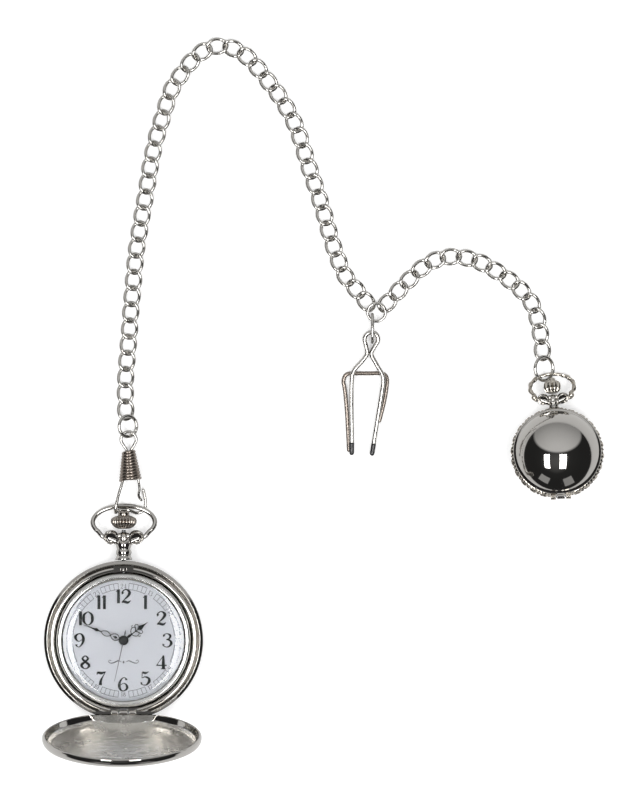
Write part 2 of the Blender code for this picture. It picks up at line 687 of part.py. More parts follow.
def belt_clip():
    """Wire pocket clip: a front fork with an eye, and a back fork under it."""
    z = 2.3
    front = [(66.0, 54.2), (66.0, 60.0), (65.9, 68.0), (66.0, 75.0), (66.6, 78.0), (69.2, 81.0),
             (70.4, 82.9), (70.2, 84.9), (69.7, 87.3), (70.6, 88.8), (72.0, 89.0), (73.3, 88.4),
             (73.6, 86.6), (72.4, 84.6), (71.7, 82.7), (73.3, 79.6), (75.1, 76.0), (74.6, 71.0),
             (73.4, 63.5), (71.9, 54.0)]
    wire("clip_front", [(x, y, z) for x, y in spaced(front, 42)], CLIP_WIRE, chrome(), sides=1,
         origin=(70.5, 77.0, z))
    z = 0.62
    back = [(65.2, 55.0), (64.6, 66.0), (64.0, 72.5), (63.6, 75.0), (64.4, 76.9), (66.5, 77.2),
            (70.5, 77.2), (74.5, 77.2), (76.0, 76.3), (76.2, 74.0), (75.4, 69.0), (74.0, 63.5)]
    wire("clip_back", [(x, y, z) for x, y in spaced(back, 26)], CLIP_WIRE, chrome(), sides=1,
         origin=(70.5, 77.2, z))


# ---------------------------------------------------------------- ball watch fob

def fob():
    """Small ball-shaped watch on the chain's end, built in its own frame, which leans on its crown."""
    turn = Matrix.Rotation(math.radians(FOB_TURN), 4, "Z")
    lean = Matrix.Rotation(math.radians(-FOB_TILT), 4, "X")
    base = frame("fob_frame", FOB_AT, turn @ lean)
    seg = FOB_SEGMENTS
    band = [(11.6, 1.5), (12.5, 1.6), (12.9, 1.2), (FOB_RADIUS, 0.5), (FOB_RADIUS, -0.5),
            (12.9, -1.2), (12.5, -1.6), (11.6, -1.6)]
    body = turned("fob_case", band, satin(), seg, closed=True, parent=base)
    for side in (-1, 1):
        low, high = sorted((side * 1.5, side * 2.9))
        foot = box_mesh(low, high, -13.8, -12.0, -0.3, 1.5)
        combine(body, helper(f"fob_foot_{side}", foot, base), "UNION")
        barrel = turned_mesh(rod(0.8, low, high), 12, False, "X", (0, FOB_HINGE_Y, FOB_HINGE_Z))
        combine(body, helper(f"fob_knuckle_{side}", barrel, base), "UNION")
    relief = turned_mesh(rod(1.1, -1.5, 1.5), 12, False, "X", (0, FOB_HINGE_Y, FOB_HINGE_Z))
    combine(body, helper("fob_relief", relief, base), "DIFFERENCE")
    bore = turned_mesh(rod(0.55, -4, 4), 10, False, "X", (0, FOB_HINGE_Y, FOB_HINGE_Z))
    combine(body, helper("fob_case_bore", bore, base), "DIFFERENCE")
    turned("fob_hinge_pin", rod(0.3, -2.8, 2.8), steel(), 8, axis="X",
           at=(0, FOB_HINGE_Y, FOB_HINGE_Z), parent=base)

    back = cap_arc(11.9, -1.9, 7.0, 6, -1)[::-1] + cap_arc(12.7, -1.9, 7.8, 7, -1)
    turned("fob_back", back, chrome(), seg, parent=base)

    hinge = frame("fob_cover_hinge", (0, 0, 0))
    hinge.parent = base
    hinge.location = Vector((0, FOB_HINGE_Y, FOB_HINGE_Z)) * MM
    shift = (0, -FOB_HINGE_Y, -FOB_HINGE_Z)
    shell = cap_arc(12.4, 1.9, 7.8, 7)[::-1] + cap_arc(11.7, 1.9, 7.1, 6)
    cover = turned("fob_cover", shell, chrome(), seg, at=shift, parent=hinge)
    for side in (-1, 1):
        low, high = sorted((side * 1.2, side * 3.2))
        gap = turned_mesh(rod(1.1, low, high), 12, False, "X")
        combine(cover, helper(f"fob_cover_relief_{side}", gap, hinge), "DIFFERENCE")
    tab = box_mesh(-1.05, 1.05, 0.05, 1.3, 0.16, 0.66)
    combine(cover, helper("fob_cover_tab", tab, hinge), "UNION")
    barrel = turned_mesh(rod(0.8, -1.1, 1.1), 12, False, "X")
    combine(cover, helper("fob_cover_barrel", barrel, hinge), "UNION")
    bore = turned_mesh(rod(0.55, -2, 2), 10, False, "X")
    combine(cover, helper("fob_cover_bore", bore, hinge), "DIFFERENCE")

    turned("fob_movement", [(0, 0.2), (8.2, 0.2), (8.4, 0), (8.4, -3.2), (0, -3.2)], plastic(), 20,
           parent=base)
    plate("fob_dial", circle(11.2, seg), 0.5, 0.8, white_paint(), [circle(0.6, 8)], parent=base)
    turned("fob_glass", [(0, 2.7), (11.1, 2.5), (11.1, 2.1), (0, 2.1)], glass(), seg, parent=base)
    hand("fob_hour_hand", 5.4, 0.9, 0.3, 0.45, 1.05, 1.18, 305, bore=0.5, parent=base)
    hand("fob_minute_hand", 8.4, 0.8, 0.25, 0.35, 1.5, 1.63, 60, parent=base)

    half = [(1.35, 13.45), (1.35, 15.0), (3.4, 15.5), (4.6, 16.4), (4.4, 17.3), (3.2, 17.6),
            (1.6, 17.1)]
    outline = half + [(-x, y) for x, y in half[::-1]]
    neck = plate("fob_neck", outline, -1.4, 1.4, chrome(), parent=base)
    for side in (-1, 1):
        low, high = sorted((side * 3.0, side * 6.0))
        hole = turned_mesh(rod(0.95, low, high), 10, False, "X", (0, 16.4, 0))
        combine(neck, helper(f"fob_ear_{side}", hole, base), "DIFFERENCE")
    profile = [(0, 22.4), (1.1, 22.3), (1.2, 21.6), (2.3, 21.3), (2.6, 20.4), (2.5, 18.8),
               (1.8, 17.9), (0, 17.9)]
    turned("fob_crown", profile, chrome(), 16, axis="Y", origin=(0, 17.9, 0), parent=base)
    pivot = (0, 16.4, 0)
    wire("fob_bow", bow_points(7.9, 6.4, 3.4, pivot, 14.0, 20), 0.62, satin(), sides=1,
         origin=pivot, parent=base)


def main():
    clear_scene()
    for build in (case_back, case_body, bezel, crystal, dial, lid_hinge_pin, lid_spring, lid,
                  catch_spring, pendant_tube, pendant_collar, crown, winding_stem, sliding_pinion,
                  setting_lever, bow, movement_holder, mainplate, train_bridge, battery,
                  battery_clamp, circuit_board, quartz_can, coil, stator, rotor,
                  intermediate_wheel, second_wheel, third_wheel, center_wheel, minute_wheel,
                  hour_wheel, hands, clasp, chain, belt_clip, fob):
        build()
    bridge_screw("bridge_screw_1", (-5.1, 2.1))
    bridge_screw("bridge_screw_2", (0.6, -3.9))


main()
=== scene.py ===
"""Polished nickel pocket watch, open, with its curb chain, snap clasp, belt clip and ball watch fob.

Lengths in this file are millimetres unless a line says otherwise; put() scales them to metres. The
watch lies on its back: +Z is the dial's normal and +Y points to 12 o'clock.
"""

import json
import math

import bmesh
import bpy
import numpy as np
from mathutils import Matrix, Vector


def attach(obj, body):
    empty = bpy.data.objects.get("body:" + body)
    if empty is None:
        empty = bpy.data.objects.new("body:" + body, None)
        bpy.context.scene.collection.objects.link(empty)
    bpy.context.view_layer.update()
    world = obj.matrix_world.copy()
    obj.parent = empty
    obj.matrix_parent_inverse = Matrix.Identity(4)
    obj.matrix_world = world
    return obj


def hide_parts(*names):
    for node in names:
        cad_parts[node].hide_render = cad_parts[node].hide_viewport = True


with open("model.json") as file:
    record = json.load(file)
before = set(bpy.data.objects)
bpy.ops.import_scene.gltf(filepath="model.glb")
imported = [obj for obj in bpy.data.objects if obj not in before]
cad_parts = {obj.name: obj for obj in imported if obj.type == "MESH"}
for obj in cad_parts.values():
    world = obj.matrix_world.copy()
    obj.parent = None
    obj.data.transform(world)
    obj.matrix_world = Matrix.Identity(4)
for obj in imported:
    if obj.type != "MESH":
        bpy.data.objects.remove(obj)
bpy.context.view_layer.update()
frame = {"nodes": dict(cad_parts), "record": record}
body_of_node = {node: body for body, nodes in frame["record"]["behaviour"]["bodies"].items()
                for node in nodes}

MM = 0.001
# Height of the axis through the stem, crown, neck and bow's pins.
STEM_Z = 4.7
HINGE = (0.0, -20.9, 8.6)
LID_OPEN = math.radians(105)
BOW_PIVOT = (0.0, 30.0, STEM_Z)
# Clock angles of the hands at rest, in degrees.
HOUR_ANGLE = 53.0
MINUTE_ANGLE = 291.5
SECOND_ANGLE = 192.4
# The fob lies on its domed back, tipped and turned a little.
FOB_PLACE = (Matrix.Translation((125.35, 54.15, 9.82)) @ Matrix.Rotation(math.radians(4.1), 4, "Z")
             @ Matrix.Rotation(math.radians(-14), 4, "X"))
# In the fob's own frame: its hinge, and how far up its bow's pins are.
FOB_HINGE = (0, -13.3, 1.9)
FOB_BOW_Y = 16.4
# A curb link: its wire's radius, the half axes of its oval, and how far its sides are twisted.
LINK_WIRE = 0.48
LINK_HALF_LENGTH = 2.85
LINK_HALF_WIDTH = 2.1
LINK_TWIST = -0.54
LONG_COUNT, SHORT_COUNT = 44, 15
# Heights of the links' middles, and of the line that a run follows.
LINK_Z, RUN_Z = 1.12, 1.2
# The dial's print: radii of the figures, of the small figures and of the track's two edges.
FIGURES_R, SMALL_R, TRACK_INNER, TRACK_OUTER = 12.65, 15.45, 14.65, 16.25
# Clock angles of the track's marks after each hour, in degrees.
TRACK_MARKS = (5.6, 10.3, 15.0, 19.7, 24.4)


# ---------------------------------------------------------------- materials

def linear(code):
    """Linear colour of an sRGB hex code."""
    values = [int(code[i:i + 2], 16) / 255 for i in (1, 3, 5)]
    return tuple(v / 12.92 if v <= 0.04045 else ((v + 0.055) / 1.055) ** 2.4 for v in values) + (1.0,)


def add(tree, kind, links=None, **settings):
    """Adds a node with its settings; links gives each input socket a value or another node's output."""
    node = tree.nodes.new(kind)
    for key, value in settings.items():
        setattr(node, key, value)
    for socket, value in (links or {}).items():
        if isinstance(value, bpy.types.NodeSocket):
            tree.links.new(value, node.inputs[socket])
        else:
            node.inputs[socket].default_value = value
    return node


def shader_of(name, **values):
    """A new material, its node tree and its shader, with values on the shader's own sockets."""
    mat = bpy.data.materials.new(name)
    mat.use_nodes = True
    shader = mat.node_tree.nodes["Principled BSDF"]
    for socket, value in values.items():
        shader.inputs[socket.replace("_", " ")].default_value = value
    return mat, mat.node_tree, shader


def mottled(tree, scale, detail=4.0):
    """Noise on object coordinates. Scale is in features a metre, so 1000 / size in mm."""
    place = add(tree, "ShaderNodeTexCoord").outputs["Object"]
    return add(tree, "ShaderNodeTexNoise", {"Vector": place, "Scale": scale, "Detail": detail}).outputs[0]


def blended(tree, factor, low, high):
    """A value that goes from low to high as the noise goes through its middle range."""
    ramp = add(tree, "ShaderNodeMapRange", {"Value": factor, "From Min": 0.3, "From Max": 0.7,
                                            "To Min": low, "To Max": high})
    return ramp.outputs[0]


def tinted(tree, factor, first, second):
    """A colour between two sRGB hex codes."""
    mix = add(tree, "ShaderNodeMix", data_type="RGBA")
    tree.links.new(factor, mix.inputs["Factor"])
    mix.inputs["A"].default_value = linear(first)
    mix.inputs["B"].default_value = linear(second)
    return mix.outputs["Result"]


def plated(name, first, second, low, high, size, bump=0.0, bump_size=1.0):
    """A plated or bare metal: two close tones, a roughness that wanders between low and high over
    patches of the given size in mm, and a bump of the given depth in mm."""
    mat, tree, shader = shader_of(name, Metallic=1.0)
    patches = mottled(tree, 1000 / size)
    tree.links.new(tinted(tree, patches, first, second), shader.inputs["Base Color"])
    tree.links.new(blended(tree, patches, low, high), shader.inputs["Roughness"])
    if bump:
        height = mottled(tree, 1000 / bump_size, 2.0)
        node = add(tree, "ShaderNodeBump", {"Height": height, "Strength": 1.0, "Distance": bump * MM})
        tree.links.new(node.outputs[0], shader.inputs["Normal"])
    return mat


# Bright nickel over a buffed zinc casting: a mirror with faint haze where fingers have been.
polished_nickel = plated("polished_nickel_plate", "#B9B7B3", "#B0ADA9", 0.03, 0.08, 6.0)
# Nickel-plated drawn steel wire of the chain, rings and clip: bright, with a haze left by the die.
wire_nickel = plated("nickel_plated_wire", "#C6C4C0", "#B6B3AE", 0.13, 0.21, 2.5)
# Inner face of the lid: plated straight over the pressing, so it is satin and slightly rippled. Its pale
# tone, as light as the dial's lacquer, is painted reflected light.
satin_pressing_painted_light = plated("satin_nickel_pressing_painted_light", "#E8E5DF", "#D8D4CD", 0.21, 0.29, 5.0, 0.16, 2.2)
# Cast relief, rope bow and crown of the fob: plated but never buffed, so warmer and duller.
cast_nickel = plated("nickel_plated_casting", "#C8C3BA", "#A9A298", 0.10, 0.20, 1.2, 0.006, 0.5)
# Snapped-in bezel: nickel over a fine sand-blasted finish, paler than the case.
satin_nickel = plated("satin_nickel_plate", "#C6C6C4", "#B8B8B6", 0.20, 0.28, 3.0)
# Close-wound spring of the clasp: wire in a darker, browner tone than the chain's. On the clip's back
# fork the same tone is painted shade, for where that fork lies lower, behind the front fork.
dark_wire_and_shade = plated("dark_spring_wire_and_painted_shade", "#9C938B", "#7A7068", 0.22, 0.32, 0.8)
# Ribbed crown: thin nickel over brass that shows warm in the grooves.
crown_nickel = plated("nickel_plated_brass_crown", "#A9A29A", "#918981", 0.10, 0.20, 1.0)
# Bright turned steel of pins, springs and screws.
bright_steel = plated("bright_turned_steel", "#A9A9AB", "#8F9092", 0.18, 0.30, 1.5)
# Stamped brass plates and wheels, unlacquered.
stamped_brass = plated("stamped_brass", "#C9A35A", "#B58C45", 0.24, 0.36, 2.0)
# Enamelled copper wire: its turns are 0.12 mm apart, so a coarser bump of 0.4 mm stands for them.
wound_copper = plated("enamelled_copper_winding", "#A85A2C", "#8C4520", 0.28, 0.40, 1.0, 0.03, 0.4)


def dial_lacquer():
    """Silver-white lacquer on a brass blank: smooth, with a very fine grain under the lacquer."""
    mat, tree, shader = shader_of("silver_white_dial_lacquer", Roughness=0.42, IOR=1.5)
    grain = mottled(tree, 1000 / 0.5)
    tree.links.new(tinted(tree, grain, "#DCDDE4", "#E3E4EA"), shader.inputs["Base Color"])
    bump = add(tree, "ShaderNodeBump", {"Height": grain, "Strength": 0.4, "Distance": 0.004 * MM})
    tree.links.new(bump.outputs[0], shader.inputs["Normal"])
    return mat


def print_ink(name, first, second):
    """Pad-printed ink, a few hundredths of a millimetre thick, with a slightly uneven film."""
    mat, tree, shader = shader_of(name, IOR=1.5)
    film = mottled(tree, 1000 / 0.4)
    tree.links.new(tinted(tree, film, first, second), shader.inputs["Base Color"])
    tree.links.new(blended(tree, film, 0.35, 0.5), shader.inputs["Roughness"])
    return mat


def moulded(name, first, second, size, roughness):
    """Moulded engineering plastic with the faint sparking texture of its tool."""
    mat, tree, shader = shader_of(name, Roughness=roughness, IOR=1.53)
    patches = mottled(tree, 1000 / size)
    tree.links.new(tinted(tree, patches, first, second), shader.inputs["Base Color"])
    bump = add(tree, "ShaderNodeBump", {"Height": patches, "Strength": 0.5, "Distance": 0.01 * MM})
    tree.links.new(bump.outputs[0], shader.inputs["Normal"])
    return mat


def mineral_glass():
    """Clear mineral glass, polished both sides, with a trace of haze from wiping."""
    mat, tree, shader = shader_of("clear_mineral_glass", IOR=1.5, Transmission_Weight=1.0)
    shader.inputs["Base Color"].default_value = linear("#FCFDFD")
    tree.links.new(blended(tree, mottled(tree, 1000 / 8.0), 0.0, 0.015), shader.inputs["Roughness"])
    return mat


dial_white = dial_lacquer()
black_ink = print_ink("black_dial_ink", "#101114", "#1B1C20")
grey_ink = print_ink("grey_dial_ink", "#77787E", "#84858B")
hand_black = print_ink("black_lacquered_steel", "#0B0B0D", "#17171A")
glass = mineral_glass()
holder_plastic = moulded("moulded_acetal", "#C9CCC6", "#D3D5CF", 0.6, 0.5)
# Dipped vinyl on the clip's tips, so that they don't pull threads.
dipped_vinyl = moulded("dipped_vinyl_tip", "#1B1B1D", "#29292B", 0.4, 0.2)
board_mask = moulded("solder_masked_board", "#1E6B3C", "#2A7C49", 0.5, 0.35)
floor_paper, floor_tree, floor_shader = shader_of("matt_white_paper", Roughness=0.9)
floor_tone = tinted(floor_tree, mottled(floor_tree, 60.0), "#E6E6E6", "#E2E2E2")
floor_tree.links.new(floor_tone, floor_shader.inputs["Base Color"])
# The paper alone is lifted to white for the eye; it throws no more light on the object for that.
floor_shader.inputs["Emission Color"].default_value = (1.0, 1.0, 1.0, 1.0)
seen = add(floor_tree, "ShaderNodeLightPath").outputs["Is Camera Ray"]
lifted = add(floor_tree, "ShaderNodeMath", {0: seen, 1: 0.42}, operation="MULTIPLY")
floor_tree.links.new(lifted.outputs[0], floor_shader.inputs["Emission Strength"])


# ---------------------------------------------------------------- surfaces

def moved(points, matrix):
    """Points of a grid after a 4 x 4 matrix."""
    matrix = np.array(matrix)
    return points @ matrix[:3, :3].T + matrix[:3, 3]


def about_y(points, height=STEM_Z):
    """Lays a shape turned about Z down along Y, on the stem's axis."""
    return np.stack([points[..., 0], points[..., 2], height - points[..., 1]], -1)


def about_x(points):
    """Lays a shape turned about Z along X."""
    return np.stack([points[..., 2], points[..., 1], -points[..., 0]], -1)


def quads(points, along):
    """Faces of a grid whose columns wrap round, and whose rows wrap too if along is True, wound so
    that the closed surface encloses a positive volume."""
    rows, cols = points.shape[:2]
    i = np.arange(rows if along else rows - 1)[:, None]
    j = np.arange(cols)[None, :]
    down, right = (i + 1) % rows, (j + 1) % cols
    faces = np.stack([i * cols + j, i * cols + right, down * cols + right, down * cols + j], -1)
    faces = faces.reshape(-1, 4)
    a, b, c, d = (points.reshape(-1, 3)[faces[:, k]] for k in range(4))
    volume = np.sum(a * np.cross(b, c)) + np.sum(a * np.cross(c, d))
    return faces if volume > 0 else faces[:, ::-1]


def put(name, grids, mat, node=None, body=None, matrix=None, crease=None):
    """Joins grids of (points, along) into one piece in metres, which stands for its CAD node, if it
    has one, and rides on that node's body.

    Rows that meet in one point are welded, so poles and ends are closed.
    """
    verts, faces, count = [], [], 0
    for points, along in grids:
        placed = moved(points, matrix) if matrix is not None else points
        faces.append(quads(placed, along) + count)
        verts.append(placed.reshape(-1, 3) * MM)
        count += len(verts[-1])
    mesh = bpy.data.meshes.new(name)
    mesh.from_pydata(np.vstack(verts), [], np.vstack(faces).tolist())
    welded = bpy.data.objects.new(name, mesh)
    bpy.context.scene.collection.objects.link(welded)
    weld(mesh)
    mesh.shade_smooth()
    if crease:
        mesh.set_sharp_from_angle(angle=math.radians(crease))
    mesh.materials.append(mat)
    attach(welded, body or body_of_node[node])
    if node:
        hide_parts(node)
    return welded


def weld(mesh):
    """Merges points that coincide, which turns the quads at a pole into triangles."""
    bm = bmesh.new()
    bm.from_mesh(mesh)
    bmesh.ops.remove_doubles(bm, verts=bm.verts, dist=2e-7)
    bm.to_mesh(mesh)
    bm.free()


def carved(obj, cutters):
    """Takes closed cutter shapes out of a piece and keeps the result as its mesh."""
    for index, grid in enumerate(cutters):
        mesh = bpy.data.meshes.new("cutter")
        mesh.from_pydata(grid[0].reshape(-1, 3) * MM, [], quads(*grid).tolist())
        weld(mesh)
        cutter = bpy.data.objects.new(f"cutter_{index}", mesh)
        bpy.context.scene.collection.objects.link(cutter)
        cut = obj.modifiers.new(f"cut_{index}", "BOOLEAN")
        cut.operation, cut.solver, cut.object = "DIFFERENCE", "EXACT", cutter
    bpy.context.view_layer.update()
    evaluated = obj.evaluated_get(bpy.context.evaluated_depsgraph_get())
    result = bpy.data.meshes.new_from_object(evaluated)
    for cut in list(obj.modifiers):
        cutter = cut.object
        obj.modifiers.remove(cut)
        bpy.data.objects.remove(cutter, do_unlink=True)
    obj.data = result
    result.set_sharp_from_angle(angle=math.radians(32))


def turned(profile, count=256, closed=False, ribs=0.0, rib_count=0, rib_zone=None):
    """Profile of (radius, height) carried round Z.

    A closed profile makes a ring; an open one starts and ends on the axis. Ribs scale the radius by
    1 + ribs * |cos(rib_count * angle / 2)| ** 0.7, weighted along the profile by rib_zone.
    """
    profile = np.asarray(profile, float)
    angle = np.linspace(0, 2 * np.pi, count, endpoint=False)
    weight = np.zeros(len(profile)) if rib_zone is None else rib_zone(profile[:, 1])
    wave = np.abs(np.cos(rib_count * angle / 2)) ** 0.7
    radius = profile[:, 0][:, None] * (1 + ribs * weight[:, None] * wave[None, :])
    height = np.repeat(profile[:, 1][:, None], count, 1)
    points = np.stack([radius * np.cos(angle), radius * np.sin(angle), height], -1)
    return (points.transpose(1, 0, 2), True) if closed else (points, False)


def rounded(corners, radius, closed=False, steps=4):
    """Polyline with each corner replaced by a quadratic arc that starts a given distance before it.

    The straight parts get a point just inside each end, so that flats stay flat when shaded.
    """
    points = np.asarray(corners, float)
    before, after = np.roll(points, 1, 0), np.roll(points, -1, 0)
    out = []
    for here, last, ahead in zip(points, before, after):
        back, on = last - here, ahead - here
        near = min(radius, 0.4 * np.linalg.norm(back), 0.4 * np.linalg.norm(on))
        back, on = back / np.linalg.norm(back), on / np.linalg.norm(on)
        t = np.linspace(0, 1, steps + 1)[:, None]
        arc = (1 - t) ** 2 * near * back + t ** 2 * near * on + here
        out.append(np.vstack([here + back * near * 1.15, arc, here + on * near * 1.15]))
    if not closed:
        out[0], out[-1] = points[:1], points[-1:]
    return np.vstack(out)


def spread(points, count):
    """Points at equal steps on the smooth curve through a route's points."""
    knots = np.asarray(points, float)
    ends = np.vstack([2 * knots[0] - knots[1], knots, 2 * knots[-1] - knots[-2]])
    t = np.linspace(0, 1, 24, endpoint=False)[:, None]
    a, b, c, d = (ends[k:len(ends) - 3 + k, None, :] for k in range(4))
    dense = 0.5 * (2 * b + (c - a) * t + (2 * a - 5 * b + 4 * c - d) * t ** 2
                   + (3 * b - a - 3 * c + d) * t ** 3)
    dense = np.vstack([dense.reshape(-1, knots.shape[1]), knots[-1:]])
    run = np.concatenate([[0], np.cumsum(np.linalg.norm(np.diff(dense, axis=0), axis=1))])
    steps = np.linspace(0, run[-1], count)
    return np.column_stack([np.interp(steps, run, dense[:, i]) for i in range(knots.shape[1])])


def unit(vectors):
    """Vectors at length 1."""
    return vectors / np.linalg.norm(vectors, axis=-1, keepdims=True)


def tube(path, radius, up=(0, 0, 1), closed=False, sides=14, twist=0.0, lobes=0, lobe=0.0):
    """Round wire carried along a path, with domed ends unless it closes on itself.

    Each ring lies across the path's direction, with its first point turned from up. Lobes make a
    rope: the radius is scaled by 1 + lobe * cos(lobes * (angle - twist * distance)).
    """
    path = np.asarray(path, float)
    radius = np.broadcast_to(np.asarray(radius, float), len(path)).copy()
    if closed:
        way = unit(np.roll(path, -1, 0) - np.roll(path, 1, 0))
    else:
        way = unit(np.gradient(path, axis=0))
        lift = np.sin(np.linspace(np.pi / 2, 0, 6)[:-1])[:, None]
        shrink = np.cos(np.linspace(np.pi / 2, 0, 6)[:-1])
        path = np.vstack([path[0] - way[0] * radius[0] * lift, path,
                          (path[-1] + way[-1] * radius[-1] * lift)[::-1]])
        radius = np.concatenate([radius[0] * shrink, radius, radius[-1] * shrink[::-1]])
        way = np.vstack([np.repeat(way[:1], 5, 0), way, np.repeat(way[-1:], 5, 0)])
    side = unit(np.cross(way, np.asarray(up, float)))
    over = np.cross(side, way)
    angle = np.linspace(0, 2 * np.pi, sides, endpoint=False)[None, :]
    run = np.concatenate([[0], np.cumsum(np.linalg.norm(np.diff(path, axis=0), axis=1))])[:, None]
    scale = radius[:, None] * (1 + lobe * np.cos(lobes * (angle - twist * run)))
    points = (path[:, None] + side[:, None] * (scale * np.cos(angle))[..., None]
              + over[:, None] * (scale * np.sin(angle))[..., None])
    return points, closed


def ring(centre, radius, wire, long=None, turn=Matrix(), gap=0.0, start=0.0):
    """Ring or oval of round wire; gap is the angle left open in degrees, and start where it begins."""
    sweep = 2 * np.pi - math.radians(gap)
    angle = math.radians(start) + np.linspace(0, sweep, 64, endpoint=bool(gap))
    flat = np.stack([radius * np.cos(angle), (long or radius) * np.sin(angle), 0 * angle], -1)
    normal = np.array(turn.to_3x3() @ Vector((0, 0, 1)))
    return tube(moved(flat, Matrix.Translation(centre) @ turn), wire, normal, not gap)


def block(x0, x1, y0, y1, z0, z1):
    """Box as a grid: its four-sided outline at four heights, the first and last drawn to a point."""
    outline = np.array([(x0, y0), (x1, y0), (x1, y1), (x0, y1)], float)
    middle = np.repeat(outline.mean(0)[None], 4, 0)
    rows = [(middle, z0), (outline, z0), (outline, z1), (middle, z1)]
    return np.stack([np.column_stack([xy, np.full(4, z)]) for xy, z in rows]), False


def prism(outline, low, high, round_off=0.0):
    """Flat piece with an outline, its top edge drawn in by round_off, closed at its middle."""
    outline = np.asarray(outline, float)
    middle = outline.mean(0)
    inner = middle + (outline - middle) * (1 - round_off)
    rows = [(np.repeat(middle[None], len(outline), 0), low), (outline, low),
            (outline, high - 0.4 * (high - low)), (inner, high),
            (np.repeat(middle[None], len(outline), 0), high)]
    return np.stack([np.column_stack([xy, np.full(len(xy), z)]) for xy, z in rows]), False


def disc(radius, low, high, round_off=0.06):
    """Flat round piece on the Z axis."""
    angle = np.linspace(0, 2 * np.pi, 48, endpoint=False)
    outline = np.column_stack([radius * np.cos(angle), radius * np.sin(angle)])
    return prism(outline, low, high, round_off)


def stroke(knots, low, high, count=40):
    """Pen stroke of changing width: knots are (x, y, width), and the section is a flat bar."""
    line = spread(knots, count)
    way = unit(np.gradient(line[:, :2], axis=0))
    side = np.column_stack([-way[:, 1], way[:, 0]]) * line[:, 2:3] / 2
    left, right = line[:, :2] + side, line[:, :2] - side
    rows = [np.column_stack([xy, np.full(count, z)]) for xy, z in
            ((left, low), (left, high), (right, high), (right, low))]
    points = np.stack(rows, 1)
    tips = [np.repeat(points[k].mean(0)[None, None], 4, 1) for k in (0, -1)]
    return np.vstack([tips[0], points, tips[1]]), False


def sphere(centre, radius, squash=(1, 1, 1), count=24):
    """Ball as a half circle turned about Z, then squashed."""
    angle = np.linspace(-np.pi / 2, np.pi / 2, count)
    points, along = turned(np.column_stack([np.cos(angle), np.sin(angle)]) * radius, 2 * count)
    return points * np.array(squash) + np.array(centre), along


# ---------------------------------------------------------------- camera and light

def camera():
    """Looks straight down from far above, so that every piece keeps nearly the same scale."""
    data = bpy.data.cameras.new("camera")
    # Metres: the distance to the object's middle height, and the side of the view there.
    distance, tall, middle = 2.5, 0.2315, 0.005
    data.sensor_width = 36.0
    data.lens = data.sensor_width * distance / tall
    data.clip_start, data.clip_end = 0.1, 10.0
    obj = bpy.data.objects.new("camera", data)
    obj.location = (0.0568, 0.0695, distance + middle)
    bpy.context.scene.collection.objects.link(obj)
    bpy.context.scene.camera = obj


def lamp(name, at, size, power, toward=None):
    """Rectangular softbox that faces straight down, or toward a place; metres."""
    data = bpy.data.lights.new(name, "AREA")
    data.shape, data.size, data.size_y, data.energy = "RECTANGLE", size[0], size[1], power
    obj = bpy.data.objects.new(name, data)
    obj.location = at
    if toward:
        obj.rotation_mode = "QUATERNION"
        obj.rotation_quaternion = (Vector(toward) - Vector(at)).to_track_quat("-Z", "Y")
    obj.visible_camera = False
    bpy.context.scene.collection.objects.link(obj)


def studio():
    """Pale sheet curved up behind and overhead, a dim room in front and at the sides, two upright
    windows of light beside the zenith, and two small lamps low in front. The eye sees white behind
    the object, whatever the room is."""
    world = bpy.data.worlds.new("studio")
    bpy.context.scene.world = world
    world.use_nodes = True
    tree = world.node_tree
    tree.nodes.clear()
    way = add(tree, "ShaderNodeTexCoord").outputs["Generated"]
    parts = add(tree, "ShaderNodeSeparateXYZ", {"Vector": way}).outputs
    # The sheet fills a round patch of sky about a direction behind the object and overhead.
    patch = add(tree, "ShaderNodeVectorMath", {0: way, 1: (0.0, 0.875, 0.485)},
                operation="DOT_PRODUCT")
    sheet = add(tree, "ShaderNodeMapRange", {"Value": patch.outputs["Value"], "From Min": 0.60,
                                             "From Max": 0.67, "To Min": 0.03, "To Max": 0.68})
    # It is brightest overhead, and dimmer where it drops behind the object.
    fall = add(tree, "ShaderNodeMapRange", {"Value": parts[2], "From Min": 0.1, "From Max": 0.9,
                                            "To Min": 0.70, "To Max": 1.30})
    sheet = add(tree, "ShaderNodeMath", {0: sheet.outputs[0], 1: fall.outputs[0]},
                operation="MULTIPLY")
    ground = add(tree, "ShaderNodeMapRange", {"Value": parts[2], "From Min": -0.03,
                                              "From Max": 0.02, "To Min": 0.9, "To Max": 0.0})
    level = add(tree, "ShaderNodeMath", {0: sheet.outputs[0], 1: ground.outputs[0]},
                operation="MAXIMUM")
    # The ceiling about the windows glows faintly.
    zenith = add(tree, "ShaderNodeVectorMath", {0: way, 1: (-0.05, -0.20, 0.98)},
                 operation="DOT_PRODUCT")
    glow = add(tree, "ShaderNodeMapRange", {"Value": zenith.outputs["Value"], "From Min": 0.85,
                                            "From Max": 1.0, "To Min": 0.03, "To Max": 0.14})
    level = add(tree, "ShaderNodeMath", {0: level.outputs[0], 1: glow.outputs[0]},
                operation="MAXIMUM")
    eye = add(tree, "ShaderNodeLightPath").outputs["Is Camera Ray"]
    level = add(tree, "ShaderNodeMix", {"Factor": eye, "A": level.outputs[0], "B": 1.0},
                data_type="FLOAT")
    light = add(tree, "ShaderNodeBackground", {"Color": (1.0, 1.0, 1.0, 1.0),
                                               "Strength": level.outputs["Result"]})
    out = add(tree, "ShaderNodeOutputWorld")
    tree.links.new(light.outputs[0], out.inputs[0])
    lamp("window_left", (-0.38, -0.18, 1.0), (0.27, 0.66), 7.0)
    lamp("window_right", (0.36, -0.18, 1.0), (0.29, 0.66), 7.0)
    front = (0.057, 0.07, 0.0)
    lamp("front_left", (-0.50, -1.00, 0.55), (0.50, 0.42), 0.30, front)
    lamp("front_right", (0.62, -1.05, 0.48), (0.44, 0.52), 0.30, front)
    bpy.context.scene.view_settings.view_transform = "Standard"


